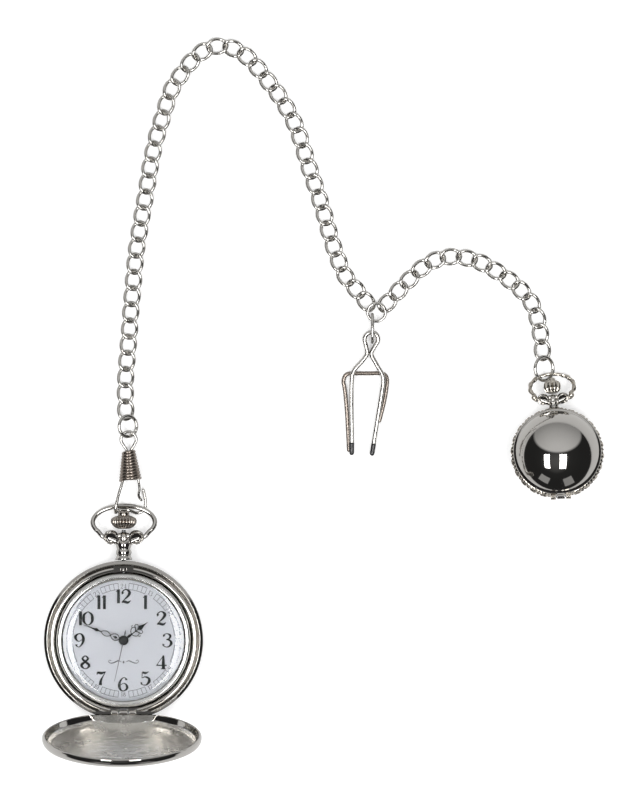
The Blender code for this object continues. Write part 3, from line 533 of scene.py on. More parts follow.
def floor():
    """Matt white paper that the object lies on."""
    mesh = bpy.data.meshes.new("floor")
    # Metres; the gap keeps the paper off the case back's flat face.
    side, gap = 1.6, 0.00005
    corners = [(-side, -side, -gap), (side, -side, -gap), (side, side, -gap), (-side, side, -gap)]
    mesh.from_pydata(corners, [], [(0, 1, 2, 3)])
    mesh.materials.append(floor_paper)
    obj = bpy.data.objects.new("floor", mesh)
    bpy.context.scene.collection.objects.link(obj)


# ---------------------------------------------------------------- chain

LONG_ROUTE = [
    (0.5, 66.2), (0.4, 73.8), (0.8, 80.5), (1.4, 87.4), (2.0, 95.5), (2.7, 103.6), (3.6, 112.9),
    (4.9, 121.0), (6.3, 129.1), (7.6, 137.2), (9.3, 145.3), (11.4, 152.2), (13.4, 158.6),
    (16.3, 163.5), (19.2, 167.3), (22.4, 170.2), (25.8, 171.8), (29.9, 171.9), (33.6, 170.3),
    (37.1, 167.6), (40.9, 162.9), (44.9, 157.7), (48.5, 151.6), (51.0, 145.6), (53.0, 138.9),
    (55.3, 132.0), (57.7, 124.5), (59.8, 116.9), (61.7, 111.2), (64.0, 105.7), (67.2, 101.6),
    (70.5, 97.6),
]
SHORT_ROUTE = [
    (76.0, 97.3), (79.9, 101.5), (82.8, 104.5), (85.7, 107.2), (88.6, 109.3), (91.5, 110.4),
    (94.7, 111.0), (97.6, 110.9), (100.5, 110.3), (103.4, 109.3), (106.3, 107.8), (109.2, 106.0),
    (112.1, 103.9), (114.9, 101.5), (117.8, 98.1), (119.6, 93.8), (120.7, 88.6), (121.3, 83.5),
]


def curb_links(route, count):
    """Twisted curb links: link k's wire follows (a cos t, b sin t, h sin 2t) in its own frame, which
    is set at equal steps along the route, so each link threads the next, over one side and under
    the other."""
    line = spread(route, 12 * count)
    # The end links' middles stay half a millimetre inside the run.
    trim = 0.5 / np.linalg.norm(np.diff(line, axis=0), axis=1).sum()
    at = np.linspace(trim, 1 - trim, count) * (len(line) - 1)
    spot = np.column_stack([np.interp(at, np.arange(len(line)), line[:, i]) for i in (0, 1)])
    way = unit(np.gradient(spot, axis=0))
    t = np.linspace(0, 2 * np.pi, 36, endpoint=False)
    wire = np.stack([LINK_HALF_LENGTH * np.cos(t), LINK_HALF_WIDTH * np.sin(t),
                     LINK_TWIST * np.sin(2 * t)], -1)
    link = tube(wire, LINK_WIRE, closed=True, sides=10)[0]
    links = []
    for index, (place, along) in enumerate(zip(spot, way)):
        roll = 0.10 * math.sin(2.3 * index)
        turn = math.atan2(along[1], along[0]) + 0.05 * math.sin(1.7 * index)
        pose = (Matrix.Translation((place[0], place[1], LINK_Z)) @ Matrix.Rotation(turn, 4, "Z")
                @ Matrix.Rotation(roll, 4, "X"))
        links.append((moved(link, pose), True))
    return links


def chain():
    """Both runs, the rings between them and the snap clasp."""
    runs = {}
    for name, route, count in (("chain_long", LONG_ROUTE, LONG_COUNT),
                               ("chain_short", SHORT_ROUTE, SHORT_COUNT)):
        runs[name] = put(name + "_links", curb_links(route, count), wire_nickel, name)
    tilt = Matrix.Rotation(math.radians(34), 4, "Y")
    clasp_ring = put("clasp_jump_ring", [ring((1.15, 61.9, 2.45), 3.0, 0.5, turn=tilt, gap=9,
                                              start=-22)], wire_nickel, "clasp_ring")
    junction = put("junction_jump_ring", [ring((73.2, 94.9, 2.2), 2.6, 0.45)], wire_nickel,
                   "junction_ring")
    upright = Matrix.Rotation(math.radians(90), 4, "Y")
    clip_link = put("clip_connector_ring", [ring((72.0, 90.25, 2.2), 1.6, 0.45, long=4.05,
                                                 turn=upright)], wire_nickel, "clip_ring")
    lean = Matrix.Rotation(math.radians(40), 4, "Y")
    fob_link = put("fob_jump_ring", [ring((121.7, 78.6, 2.75), 3.45, 0.5, turn=lean, gap=6,
                                          start=160)], wire_nickel, "fob_ring")
    hook_route = [
        (5.6, 43.4, 1.2), (6.0, 41.5, 0.75), (6.25, 39.4, 0.32), (5.95, 38.0, 0.3),
        (4.9, 37.0, 0.35), (3.5, 36.75, 0.7), (2.2, 37.3, 1.4), (0.9, 37.66, 1.8),
        (-0.8, 37.66, 1.8), (-1.7, 37.4, 2.05), (-2.3, 36.93, 2.75), (-2.45, 37.12, 3.6),
        (-2.4, 37.8, 4.2), (-2.3, 38.7, 4.4), (-2.0, 40.0, 4.3), (-1.4, 42.5, 4.0),
        (-0.45, 45.7, 3.6), (0.3, 49.5, 3.1), (0.75, 54.6, 2.45), (0.0, 56.2, 2.45),
        (-0.85, 57.9, 2.45), (-0.3, 59.6, 2.45), (1.25, 60.3, 2.45), (2.8, 59.8, 2.45),
        (3.6, 58.0, 2.45), (2.8, 56.2, 2.45), (2.0, 54.6, 2.45), (2.3, 51.0, 2.8)]
    hook = put("clasp_hook_wire", [tube(spread(hook_route, 180), 0.45)], wire_nickel, "clasp_hook")
    coil = put("clasp_coil_winding", [clasp_coil()], dark_wire_and_shade, "clasp_coil")
    latch_route = [(3.1, 49.2, 3.2), (4.1, 46.6, 3.3), (4.5, 44.0, 2.6), (4.25, 42.0, 2.0),
                   (4.7, 40.9, 1.6), (5.0, 40.5, 1.45)]
    put("clasp_latch_wire", [tube(spread(latch_route, 40), 0.4)], wire_nickel, "clasp_latch")
    lines = [np.column_stack([spread(route, count), np.full(count, RUN_Z)]) * MM
             for route, count in ((LONG_ROUTE, 60), (SHORT_ROUTE, 30))]
    return {"runs": runs, "lines": lines, "clasp": [clasp_ring, hook, coil],
            "junction": [junction, clip_link], "fob": [fob_link]}


def clasp_coil():
    """Close-wound cone: the wire's centre climbs a cone at one wire's thickness a turn."""
    start, end = Vector((1.94, 45.9, 3.45)), Vector((1.36, 55.0, 2.45))
    axis = (end - start).normalized()
    length = (end - start).length
    t = np.linspace(0, 1, 380)
    turns = 9.6 * 2 * np.pi * t
    radius = 2.88 - 1.35 * t
    path = np.stack([radius * np.cos(turns), radius * np.sin(turns), 0.45 + (length - 0.9) * t], -1)
    pose = Matrix.Translation(start) @ axis.to_track_quat("Z", "Y").to_matrix().to_4x4()
    return tube(moved(path, pose), 0.47, up=axis, sides=10)


def belt_clip():
    """Spring-wire pocket clip: a front fork with an eye and dark dipped tips, and a back fork darkened
    with painted shade.
    """
    front = [(66.0, 54.2), (66.0, 60.0), (65.9, 68.0), (66.0, 75.0), (66.6, 78.0), (69.2, 81.0),
             (70.4, 82.9), (70.2, 84.9), (69.7, 87.3), (70.6, 88.8), (72.0, 89.0), (73.3, 88.4),
             (73.6, 86.6), (72.4, 84.6), (71.7, 82.7), (73.3, 79.6), (75.1, 76.0), (74.6, 71.0),
             (73.4, 63.5), (71.9, 54.0)]
    back = [(65.2, 55.0), (64.6, 66.0), (64.0, 72.5), (63.6, 75.0), (64.4, 76.9), (66.5, 77.2),
            (70.5, 77.2), (74.5, 77.2), (76.0, 76.3), (76.2, 74.0), (75.4, 69.0), (74.0, 63.5)]
    line = spread(front, 140)
    line = np.column_stack([line, np.full(len(line), 2.3)])
    fork = put("clip_front_fork", [tube(line, 0.64)], wire_nickel, "clip_front")
    tips = put("clip_tip_caps", [tube(line[:6], 0.7), tube(line[-6:], 0.7)], dipped_vinyl,
               body="clip")
    line = spread(back, 90)
    line = np.column_stack([line, np.full(len(line), 0.62)])
    # The back fork's darker wire tone is painted shade, for where it lies lower, behind the front fork.
    rear = put("clip_back_fork", [tube(line, 0.6)], dark_wire_and_shade, "clip_back")
    return [fork, tips, rear]


# ---------------------------------------------------------------- watch case

def case():
    """Snap back, middle band with the hinge's outer knuckles, hinge pin, bezel, crystal and catch."""
    back = rounded([(0, 0.7), (15.0, 0.7), (19.0, 1.2), (20.8, 1.75), (21.3, 2.38), (22.2, 2.38),
                    (21.7, 1.4), (19.4, 0.5), (17.5, 0.12), (15.0, 0.0), (0, 0.0)], 0.4)
    put("case_back_cover", [turned(back, 320)], polished_nickel, "case_back")
    # The band's top: an inner bead, a deep groove and the rounded outer rim.
    band = rounded([(19.72, 2.72), (19.72, 7.8), (20.05, 8.25), (20.55, 8.42), (21.1, 8.3),
                    (21.42, 7.85), (21.6, 7.3), (21.75, 7.95), (21.88, 8.5), (22.12, 8.62),
                    (22.97, 8.1), (23.0, 7.9), (23.0, 6.2), (22.82, 6.0), (22.82, 5.6),
                    (23.0, 5.4), (23.0, 3.7), (22.8, 3.15), (22.3, 2.72)], 0.22, closed=True)
    cuts = [block(-8.9, 8.9, -26, -20.5, 6.6, 12), block(-3.9, 3.9, -26.5, -19.0, 6.2, 12.5),
            block(-2.9, 2.9, 18.2, 21.5, 6.0, 12.2)]
    shell = put("case_band", [turned(band, 400, closed=True)], polished_nickel, "case_body")
    carved(shell, cuts)
    knuckles = []
    for side in (-1, 1):
        low, high = sorted((side * 1.6, side * 3.5))
        knuckles += [barrel(low, high), block(low + 0.02, high - 0.02, HINGE[1] - 0.6, -19.8, 5.8, 8.2)]
        low, high = sorted((side * 4.0, side * 8.4))
        bead = np.array([(low, -20.15, 6.95), (0.5 * (low + high), -20.15, 6.95), (high, -20.15, 6.95)])
        knuckles.append(tube(bead, 0.3, sides=16))
    put("hinge_outer_knuckles", knuckles, polished_nickel, body="case",
        crease=40)
    put("hinge_pin", [pin(0.35, 3.4)], bright_steel, "lid_hinge_pin",
        crease=40)
    bezel = rounded([(17.5, 9.1), (17.75, 9.38), (18.2, 9.55), (18.75, 9.5), (19.15, 9.25),
                     (19.38, 8.8), (19.4, 6.72), (18.27, 6.72), (18.27, 8.82), (17.5, 8.95)],
                    0.15, closed=True)
    put("bezel_ring", [turned(bezel, 320, closed=True)], satin_nickel, "bezel",
        crease=50)
    crystal = rounded([(0, 9.05), (6.0, 9.02), (11.0, 8.94), (14.6, 8.8), (16.2, 8.6), (17.2, 8.3),
                       (17.93, 7.98), (17.93, 7.92), (0, 7.92)], 0.8)
    put("crystal_glass", [turned(crystal, 256)], glass, "crystal", crease=50)
    catch = [block(-2.5, 2.5, 20.36, 20.84, 6.3, 7.2)]
    arch = np.linspace(0, np.pi, 24)
    tooth = np.column_stack([0.95 * np.cos(arch), 7.1 + 2.1 * np.sin(arch) ** 0.7])
    nose, along = prism(tooth, -0.28, 0.28, 0.1)
    catch.append((np.stack([nose[..., 0], 20.55 + nose[..., 2], nose[..., 1]], -1), along))
    put("catch_tooth", catch, polished_nickel, "catch_spring", crease=40)


def barrel(low, high, at=HINGE, bore=0.45, outside=0.85, soft=0.12, count=40):
    """Hinge knuckle: a tube about the hinge line with softened ends."""
    profile = [(bore, low), (outside, low), (outside, high), (bore, high)]
    points, along = turned(rounded(profile, soft, closed=True), count, closed=True)
    return about_x(points) + np.array(at), along


def pin(radius, half_length, at=HINGE, count=28):
    """Hinge pin: a rod about the hinge line with softened ends."""
    profile = [(0, -half_length), (radius, -half_length), (radius, half_length), (0, half_length)]
    points, along = turned(rounded(profile, 0.08), count)
    return about_x(points) + np.array(at), along


def fob_barrel(low, high):
    return barrel(low, high, FOB_HINGE, 0.4, 0.8, 0.1, 32)


def neck_and_collar():
    """Turned neck with two beads, and the V-shaped head whose two cupped ears hold the bow."""
    tube_profile = rounded([(1.02, 23.25), (2.45, 23.25), (2.5, 23.6), (2.2, 24.1), (1.95, 24.5),
                            (2.2, 24.9), (2.3, 25.5), (2.15, 26.0), (1.9, 26.35), (2.1, 26.8),
                            (2.3, 27.5), (2.2, 28.35), (1.02, 28.35)], 0.3, closed=True)
    points, along = turned(tube_profile, 96, closed=True)
    put("pendant_neck", [(about_y(points), along)], polished_nickel, "pendant_tube",
        crease=60)
    put("pendant_head", pendant_head(1.0, Matrix.Translation((0, 30.0, STEM_Z))), polished_nickel,
        "pendant_collar", crease=50)


def pendant_head(size, pose, tip=0.38):
    """V-shaped head about the bow's pivot: two cupped ears on a forked root, with a bead at the
    inner side of each cup."""
    cup = rounded([(0, 1.05), (1.55, 1.1), (1.75, 1.35), (1.95, 1.75), (2.15, 1.85), (2.32, 1.6),
                   (2.3, 0.4), (1.7, -1.2), (0.9, -1.75), (0, -1.85)], 0.10)
    grids = []
    for side in (-1, 1):
        lean = (Matrix.Translation((side * 3.5, 0.1, 0)) @ Matrix.Rotation(side * 0.30, 4, "Z")
                @ Matrix.Rotation(tip, 4, "X") @ Matrix.Diagonal((1.0, 0.86, 1.0, 1.0)))
        grids.append((moved(turned(cup, 72)[0], lean), False))
        arm = spread([(0.0, -1.9, 0.0), (side * 1.3, -1.5, 0), (side * 2.7, -1.0, 0),
                      (side * 4.2, -0.4, 0)], 24)
        grids.append(tube(arm, np.linspace(1.25, 1.0, 24), sides=24))
        grids.append(sphere((side * 1.2, 0.2, 0.9), 0.85))
    grids.append(sphere((0, -0.5, -0.2), 1.7, (1.0, 1.15, 1.0), 28))
    scale = pose @ Matrix.Scale(size, 4)
    return [(moved(points, scale), along) for points, along in grids]


def crown():
    """Onion crown with fine upright ribs that die out towards its neck and button."""
    curve = [(0, 37.38), (1.1, 37.35), (1.55, 37.1), (1.66, 36.5), (1.6, 36.05), (2.1, 35.95),
             (2.65, 35.65), (3.12, 35.1), (3.27, 34.5), (3.15, 33.8), (2.75, 33.1), (2.2, 32.5),
             (1.7, 32.22), (0, 32.22)]
    profile = rounded(curve, 0.35, steps=5)
    zone = lambda h: np.clip((35.95 - h) / 0.5, 0, 1) * np.clip((h - 32.35) / 0.5, 0, 1)
    points, along = turned(profile, 432, ribs=0.16, rib_count=24, rib_zone=zone)
    put("crown_onion", [(about_y(points), along)], crown_nickel, "crown",
        crease=60)


def bow_line(length, half_width, pin_x, droop, count):
    """The bow's line in its pivot's frame: a pin in one ear, a wide oval, and the other pin."""
    centre, first = length * 0.46, math.radians(124)
    angle = np.linspace(-first, first, count)
    reach = np.where(np.abs(angle) < np.pi / 2, length - centre, centre + 0.6)
    oval = np.column_stack([half_width * np.sin(angle), centre + reach * np.cos(angle), 0 * angle])
    end = pin_x + 1.9
    knots = np.vstack([[(-pin_x, 0, 0), (-end, 0, 0)], oval, [(end, 0, 0), (pin_x, 0, 0)]])
    lean = Matrix.Rotation(-math.radians(droop), 4, "X")
    return moved(spread(knots, 6 * count), lean)


def bow():
    """Round wire bow, drooped back a little from the stem's line."""
    line = bow_line(9.2, 9.0, 4.1, 16.0, 26) + np.array(BOW_PIVOT)
    put("bow_loop", [tube(line, 0.7, sides=20)], polished_nickel, "bow")


def lid():
    """Domed cover: outer dome, rolled rim and a satin inner face, cut straight at the hinge."""
    open_up = Matrix.Translation(HINGE) @ Matrix.Rotation(LID_OPEN, 4, "X")
    shut = Matrix.Translation((0, -HINGE[1], -HINGE[2]))
    rim = 8.9
    outer = [(22.0, rim), (22.6, rim + 0.05), (22.9, rim + 0.4), (22.9, rim + 1.4), (22.4, rim + 2.3),
             (21.2, rim + 2.9), (20.2, rim + 3.2), (15.0, rim + 3.8), (8.0, rim + 4.1), (0, rim + 4.2)]
    inner = [(0, rim + 3.4), (8.0, rim + 3.3), (15.0, rim + 3.0), (20.2, rim + 2.4),
             (21.5, rim + 1.7), (22.0, rim)]
    shell = rounded(inner + outer[1:], 0.35)
    points, along = turned(shell, 480)
    inside = np.arange(len(points)) < len(points) * 0.42
    floor_y = np.where(inside, -19.7, -20.5)[:, None]
    points[..., 1] = np.maximum(points[..., 1], floor_y)
    cover = put("lid_cover", [(points, along)], polished_nickel, "lid",
                matrix=open_up @ shut, crease=40)
    # The inside's pale tone is painted reflected light.
    cover.data.materials.append(satin_pressing_painted_light)
    cover.data.materials.append(satin_nickel)
    paint_inside(cover, open_up @ shut)
    tab, along = block(-1.1, 1.1, -20.85, -19.75, 8.55, 9.35)
    put("lid_knuckle", [barrel(-1.2, 1.2), (moved(tab, open_up @ shut), along)], polished_nickel,
        body="lid", crease=40)


def paint_inside(cover, pose):
    """Gives the pressing's satin finish, with its pale tone of painted reflected light, to the faces
    inside the rim that look towards the dial when shut, and a finer satin to the flat beside the hinge.
    They are found in the shut lid's place."""
    back = np.array(pose.inverted())
    count = len(cover.data.polygons)
    centres, normals = np.zeros(count * 3), np.zeros(count * 3)
    cover.data.polygons.foreach_get("center", centres)
    cover.data.polygons.foreach_get("normal", normals)
    shut = (centres.reshape(-1, 3) / MM) @ back[:3, :3].T + back[:3, 3]
    facing = normals.reshape(-1, 3) @ back[:3, :3].T
    radius = np.linalg.norm(shut[:, :2], axis=1)
    inner = (facing[:, 2] < -0.5) & (radius < 21.3)
    flat = (facing[:, 1] > 0.7) & (shut[:, 1] < -19.0) & (np.abs(shut[:, 0]) < 8.6)
    cover.data.polygons.foreach_set("material_index", (inner + 2 * flat).astype(np.int32))


# ---------------------------------------------------------------- dial and hands

DIGITS = {
    "0": [[(.31, .99, .05), (.08, .78, .13), (.04, .5, .17), (.08, .22, .13), (.31, .01, .05),
           (.54, .22, .13), (.58, .5, .17), (.54, .78, .13), (.31, .99, .05)]],
    "1": [[(.33, .0, .17), (.33, .5, .17), (.33, 1.0, .17)], [(.33, .97, .09), (.17, .84, .03)]],
    "2": [[(.13, .70, .17), (.08, .80, .10), (.20, .96, .06), (.37, .98, .08), (.53, .79, .17),
           (.43, .53, .13), (.20, .26, .06), (.04, .07, .04)],
          [(.04, .06, .05), (.20, .12, .15), (.42, .06, .14), (.60, .20, .03)]],
    "3": [[(.13, .78, .17), (.11, .90, .07), (.31, .985, .05), (.50, .85, .13), (.44, .63, .10),
           (.24, .55, .03)],
          [(.24, .55, .03), (.47, .49, .10), (.56, .28, .16), (.42, .05, .08), (.22, .015, .05),
           (.07, .12, .07), (.10, .22, .17)]],
    "4": [[(.44, .99, .04), (.24, .65, .04), (.03, .29, .04)], [(.01, .28, .07), (.3, .28, .07),
                                                                 (.64, .28, .07)],
          [(.44, 1.0, .10), (.44, .5, .17), (.44, .02, .17)], [(.28, .02, .05), (.60, .02, .05)]],
    "5": [[(.13, .94, .12), (.34, .89, .12), (.53, .99, .03)], [(.13, .95, .05), (.11, .52, .04)],
          [(.11, .52, .03), (.30, .61, .07), (.52, .50, .13), (.55, .28, .17), (.40, .05, .08),
           (.2, .015, .05), (.07, .10, .07), (.10, .20, .17)]],
    "6": [[(.49, .80, .16), (.47, .92, .07), (.33, .985, .05), (.13, .74, .11), (.06, .38, .17),
           (.15, .09, .11), (.32, .015, .05), (.51, .14, .12), (.55, .32, .15), (.45, .52, .08),
           (.31, .57, .04), (.14, .44, .04)]],
    "7": [[(.04, .76, .03), (.10, .92, .12), (.32, .88, .15), (.58, .98, .04)],
          [(.57, .97, .04), (.40, .62, .07), (.28, .32, .14), (.25, .01, .19)]],
    "8": [[(.31, .985, .05), (.49, .78, .12), (.31, .54, .12), (.07, .28, .16), (.31, .015, .05),
           (.56, .26, .16), (.31, .54, .12), (.13, .77, .12), (.31, .985, .05)]],
}
DIGITS["9"] = [[(0.62 - x, 1 - y, w) for x, y, w in line] for line in DIGITS["6"]]


def numeral(word, at, tall, low, high, turn=0.0, pen=1.0, wide=1.18):
    """Figures of a given height, centred on a place, drawn with thick and thin pen strokes."""
    advance = [0.40 if digit == "1" else 0.74 for digit in word]
    total = sum(advance)
    grids, cursor = [], -total / 2
    for digit, step in zip(word, advance):
        for line in DIGITS[digit]:
            knots = np.array(line)
            x = (cursor + (knots[:, 0] - 0.33 + step / 2 / wide) * wide) * tall
            y = (knots[:, 1] - 0.5) * tall
            flat = np.column_stack([x, y, knots[:, 2] * tall * pen])
            if len(flat) < 3:
                flat = np.vstack([flat[0], flat.mean(0), flat[-1]])
            grids.append(stroke(flat, low, high, 28))
        cursor += step
    spin = Matrix.Translation((at[0], at[1], 0)) @ Matrix.Rotation(turn, 4, "Z")
    return [(moved(points, spin), along) for points, along in grids]


def arc(radius, first, last, width, low, high):
    """Thin printed arc between two clock angles in degrees."""
    angle = np.radians(np.linspace(first, last, 16))
    knots = np.column_stack([radius * np.sin(angle), radius * np.cos(angle), 0 * angle + width])
    return stroke(knots, low, high, 24)


def tick(inner, outer, degrees, width, low, high):
    """Short printed line from one radius to another at a clock angle."""
    knots = np.column_stack([np.linspace(clock(inner, degrees), clock(outer, degrees), 3),
                             np.full(3, width)])
    return stroke(knots, low, high, 4)


def clock(radius, degrees):
    """Place at a radius and a clock angle."""
    return radius * math.sin(math.radians(degrees)), radius * math.cos(math.radians(degrees))


def dial():
    """Lacquered plate with figures 1 to 12, a small 24-hour scale and a railway minute track."""
    plate = rounded([(1.32, 5.82), (1.32, 6.2), (18.88, 6.2), (18.88, 5.82)], 0.05, closed=True)
    put("dial_plate", [turned(plate, 256, closed=True)], dial_white, "dial",
        crease=40)
    low, high = 6.203, 6.216
    figures, track, small = [], [], []
    for hour in range(1, 13):
        figures += numeral(str(hour), clock(FIGURES_R, 30 * hour), 3.95, low, high, pen=1.25)
        # The small figures stand upright towards the middle, and are turned round in the lower half.
        turn = -math.radians(30 * hour)
        if 3 < hour < 9:
            turn += math.pi
        small += numeral(str(hour + 12), clock(SMALL_R, 30 * hour), 1.25, low, high, turn, 1.0, 1.0)
        for first in TRACK_MARKS[:-1]:
            start = 30 * hour + first
            track += [arc(radius, start, start + 4.7, 0.15, low, high)
                      for radius in (TRACK_OUTER, TRACK_INNER)]
        track += [tick(TRACK_INNER, TRACK_OUTER, 30 * hour + mark, 0.15, low, high)
                  for mark in TRACK_MARKS]
    put("dial_figures", figures, black_ink, body="case")
    put("dial_minute_track", track, grey_ink, body="case")
    put("dial_small_figures", small, grey_ink, body="case")
    flourish = []
    for side in (-1, 1):
        curl = [(0.6, -6.3, .10), (1.5, -5.9, .28), (2.6, -6.35, .34), (3.6, -6.6, .26),
                (4.3, -6.2, .18), (4.1, -5.7, .18), (3.6, -5.9, .24)]
        flourish.append(stroke([(side * x, y, w) for x, y, w in curl], low, high, 40))
    flourish.append(prism([(0.32, -6.3), (0, -5.85), (-0.32, -6.3), (0, -6.75)], low, high))
    put("dial_flourish", flourish, grey_ink, body="case")


def turned_hand(grids, degrees):
    """A hand drawn towards 12 o'clock, turned to its clock angle."""
    spin = Matrix.Rotation(-math.radians(degrees), 4, "Z")
    return [(moved(points, spin), along) for points, along in grids]


def mirrored(lines):
    """Pen strokes and their mirror images left of the middle line."""
    return lines + [[(-x, y, w) for x, y, w in line] for line in lines]


def hands():
    """Pierced hands: scrolls round a spear for the hour, two open loops and a lozenge for the minute."""
    low, high = 6.58, 6.76
    scrolls = mirrored([
        [(0.1, 2.9, .2), (0.75, 3.2, .22), (1.35, 3.9, .22), (1.2, 4.7, .2), (0.5, 4.8, .2),
         (0.15, 4.3, .2)],
        [(0.1, 4.4, .2), (0.8, 4.9, .22), (1.5, 5.2, .2), (1.35, 5.9, .18), (0.75, 5.9, .2),
         (0.2, 5.3, .2)],
        [(1.3, 4.1, .16), (1.9, 4.3, .14), (1.8, 4.75, .18)]])
    hour = [stroke(line, low, high, 36) for line in scrolls]
    hour += [stroke([(0, 1.2, .5), (0, 2.2, .75), (0, 3.2, .3), (0, 5.6, .3)], low, high),
             stroke([(0, 5.4, .2), (0, 6.1, 1.3), (0, 6.7, .9), (0, 7.6, .35), (0, 8.8, .08)], low, high),
             disc(1.4, low, high)]
    put("hour_hand_scrolled", turned_hand(hour, HOUR_ANGLE), hand_black, "hour_hand",
        crease=40)
    low, high = 7.1, 7.25
    loops = mirrored([
        [(0.05, 1.2, .24), (0.55, 1.7, .2), (0.95, 2.5, .22), (0.6, 3.5, .2), (0.05, 4.0, .24)],
        [(0.05, 4.0, .24), (0.45, 4.6, .2), (0.72, 5.4, .22), (0.45, 6.4, .2), (0.05, 7.0, .24)]])
    minute = [stroke(line, low, high, 36) for line in loops]
    minute += [stroke([(0, 1.9, .1), (0, 2.4, .75), (0, 2.8, .5), (0, 3.3, .1)], low, high),
               stroke([(0, 7.0, .3), (0, 7.7, .35), (0, 8.4, 1.0), (0, 9.0, .5), (0, 10.0, .3),
                       (0, 12.3, .1)], low, high),
               disc(1.15, low, high)]
    put("minute_hand_pierced", turned_hand(minute, MINUTE_ANGLE), hand_black, "minute_hand",
        crease=40)
    low, high = 7.45, 7.58
    blade = [stroke([(0, -1.4, .3), (0, 3.0, .26), (0, 12.1, .14)], low, high),
             stroke([(0, -1.2, .25), (0, -2.2, .55), (0, -3.1, .08)], low, high)]
    put("second_hand_needle", turned_hand(blade, SECOND_ANGLE), grey_ink, "second_hand",
        crease=40)
    put("second_hand_boss", [disc(1.28, 7.3, 7.72, round_off=0.12)], hand_black, body="second",
        crease=50)


# ---------------------------------------------------------------- ball watch fob

def dome(base_radius, base_z, height, count, sign=1):
    """Arc of a shallow dome from its base to its top on the axis."""
    ball = (base_radius ** 2 + height ** 2) / (2 * height)
    angle = math.asin(min(1.0, base_radius / ball)) * np.linspace(1, 0, count)
    return np.column_stack([ball * np.sin(angle), base_z + sign * (height - ball + ball * np.cos(angle))])


def relief_band():
    """Cast band: a row of leaves between two rows of beads, as a radius that varies with the angle
    and the height, r = 12.7 + 1.0 leaf - 0.4 vein + 0.5 beads + 0.8 berry. The relief dies out
    beside the hinge: its weight is 1 - exp(-(a / 0.3) ** 4), with a the angle from the hinge."""
    rows, cols = 49, 1080
    w = np.linspace(-1.7, 1.7, rows)[:, None]
    angle = np.linspace(0, 2 * np.pi, cols, endpoint=False)[None, :]
    phase = (angle * 24 / (2 * np.pi)) % 1.0 - 0.5
    lean = phase + 0.18 * np.sin(np.pi * w / 1.7)
    leaf = np.exp(-(lean / 0.22) ** 2 - (w / 1.0) ** 2)
    vein = np.exp(-(lean / 0.05) ** 2) * np.exp(-(w / 0.9) ** 2)
    beads = np.abs(np.cos(angle * 36)) ** 0.5 * np.exp(-((np.abs(w) - 1.35) / 0.22) ** 2)
    berry = np.exp(-((np.abs(phase) - 0.5) / 0.10) ** 2 - ((w - 0.25) / 0.35) ** 2)
    away = (angle - 1.5 * np.pi + np.pi) % (2 * np.pi) - np.pi
    weight = 1 - np.exp(-(away / 0.3) ** 4)
    radius = 12.7 + weight * (1.0 * leaf - 0.4 * vein + 0.5 * beads + 0.8 * berry)
    outer = np.stack([radius * np.cos(angle), radius * np.sin(angle), w + 0 * angle], -1)
    inner = np.stack([11.65 * np.cos(angle), 11.65 * np.sin(angle), 0 * angle], -1)
    walls = [inner + np.array([0, 0, z]) for z in (1.55, 0, -1.55)]
    return np.vstack([outer] + walls).transpose(1, 0, 2), True


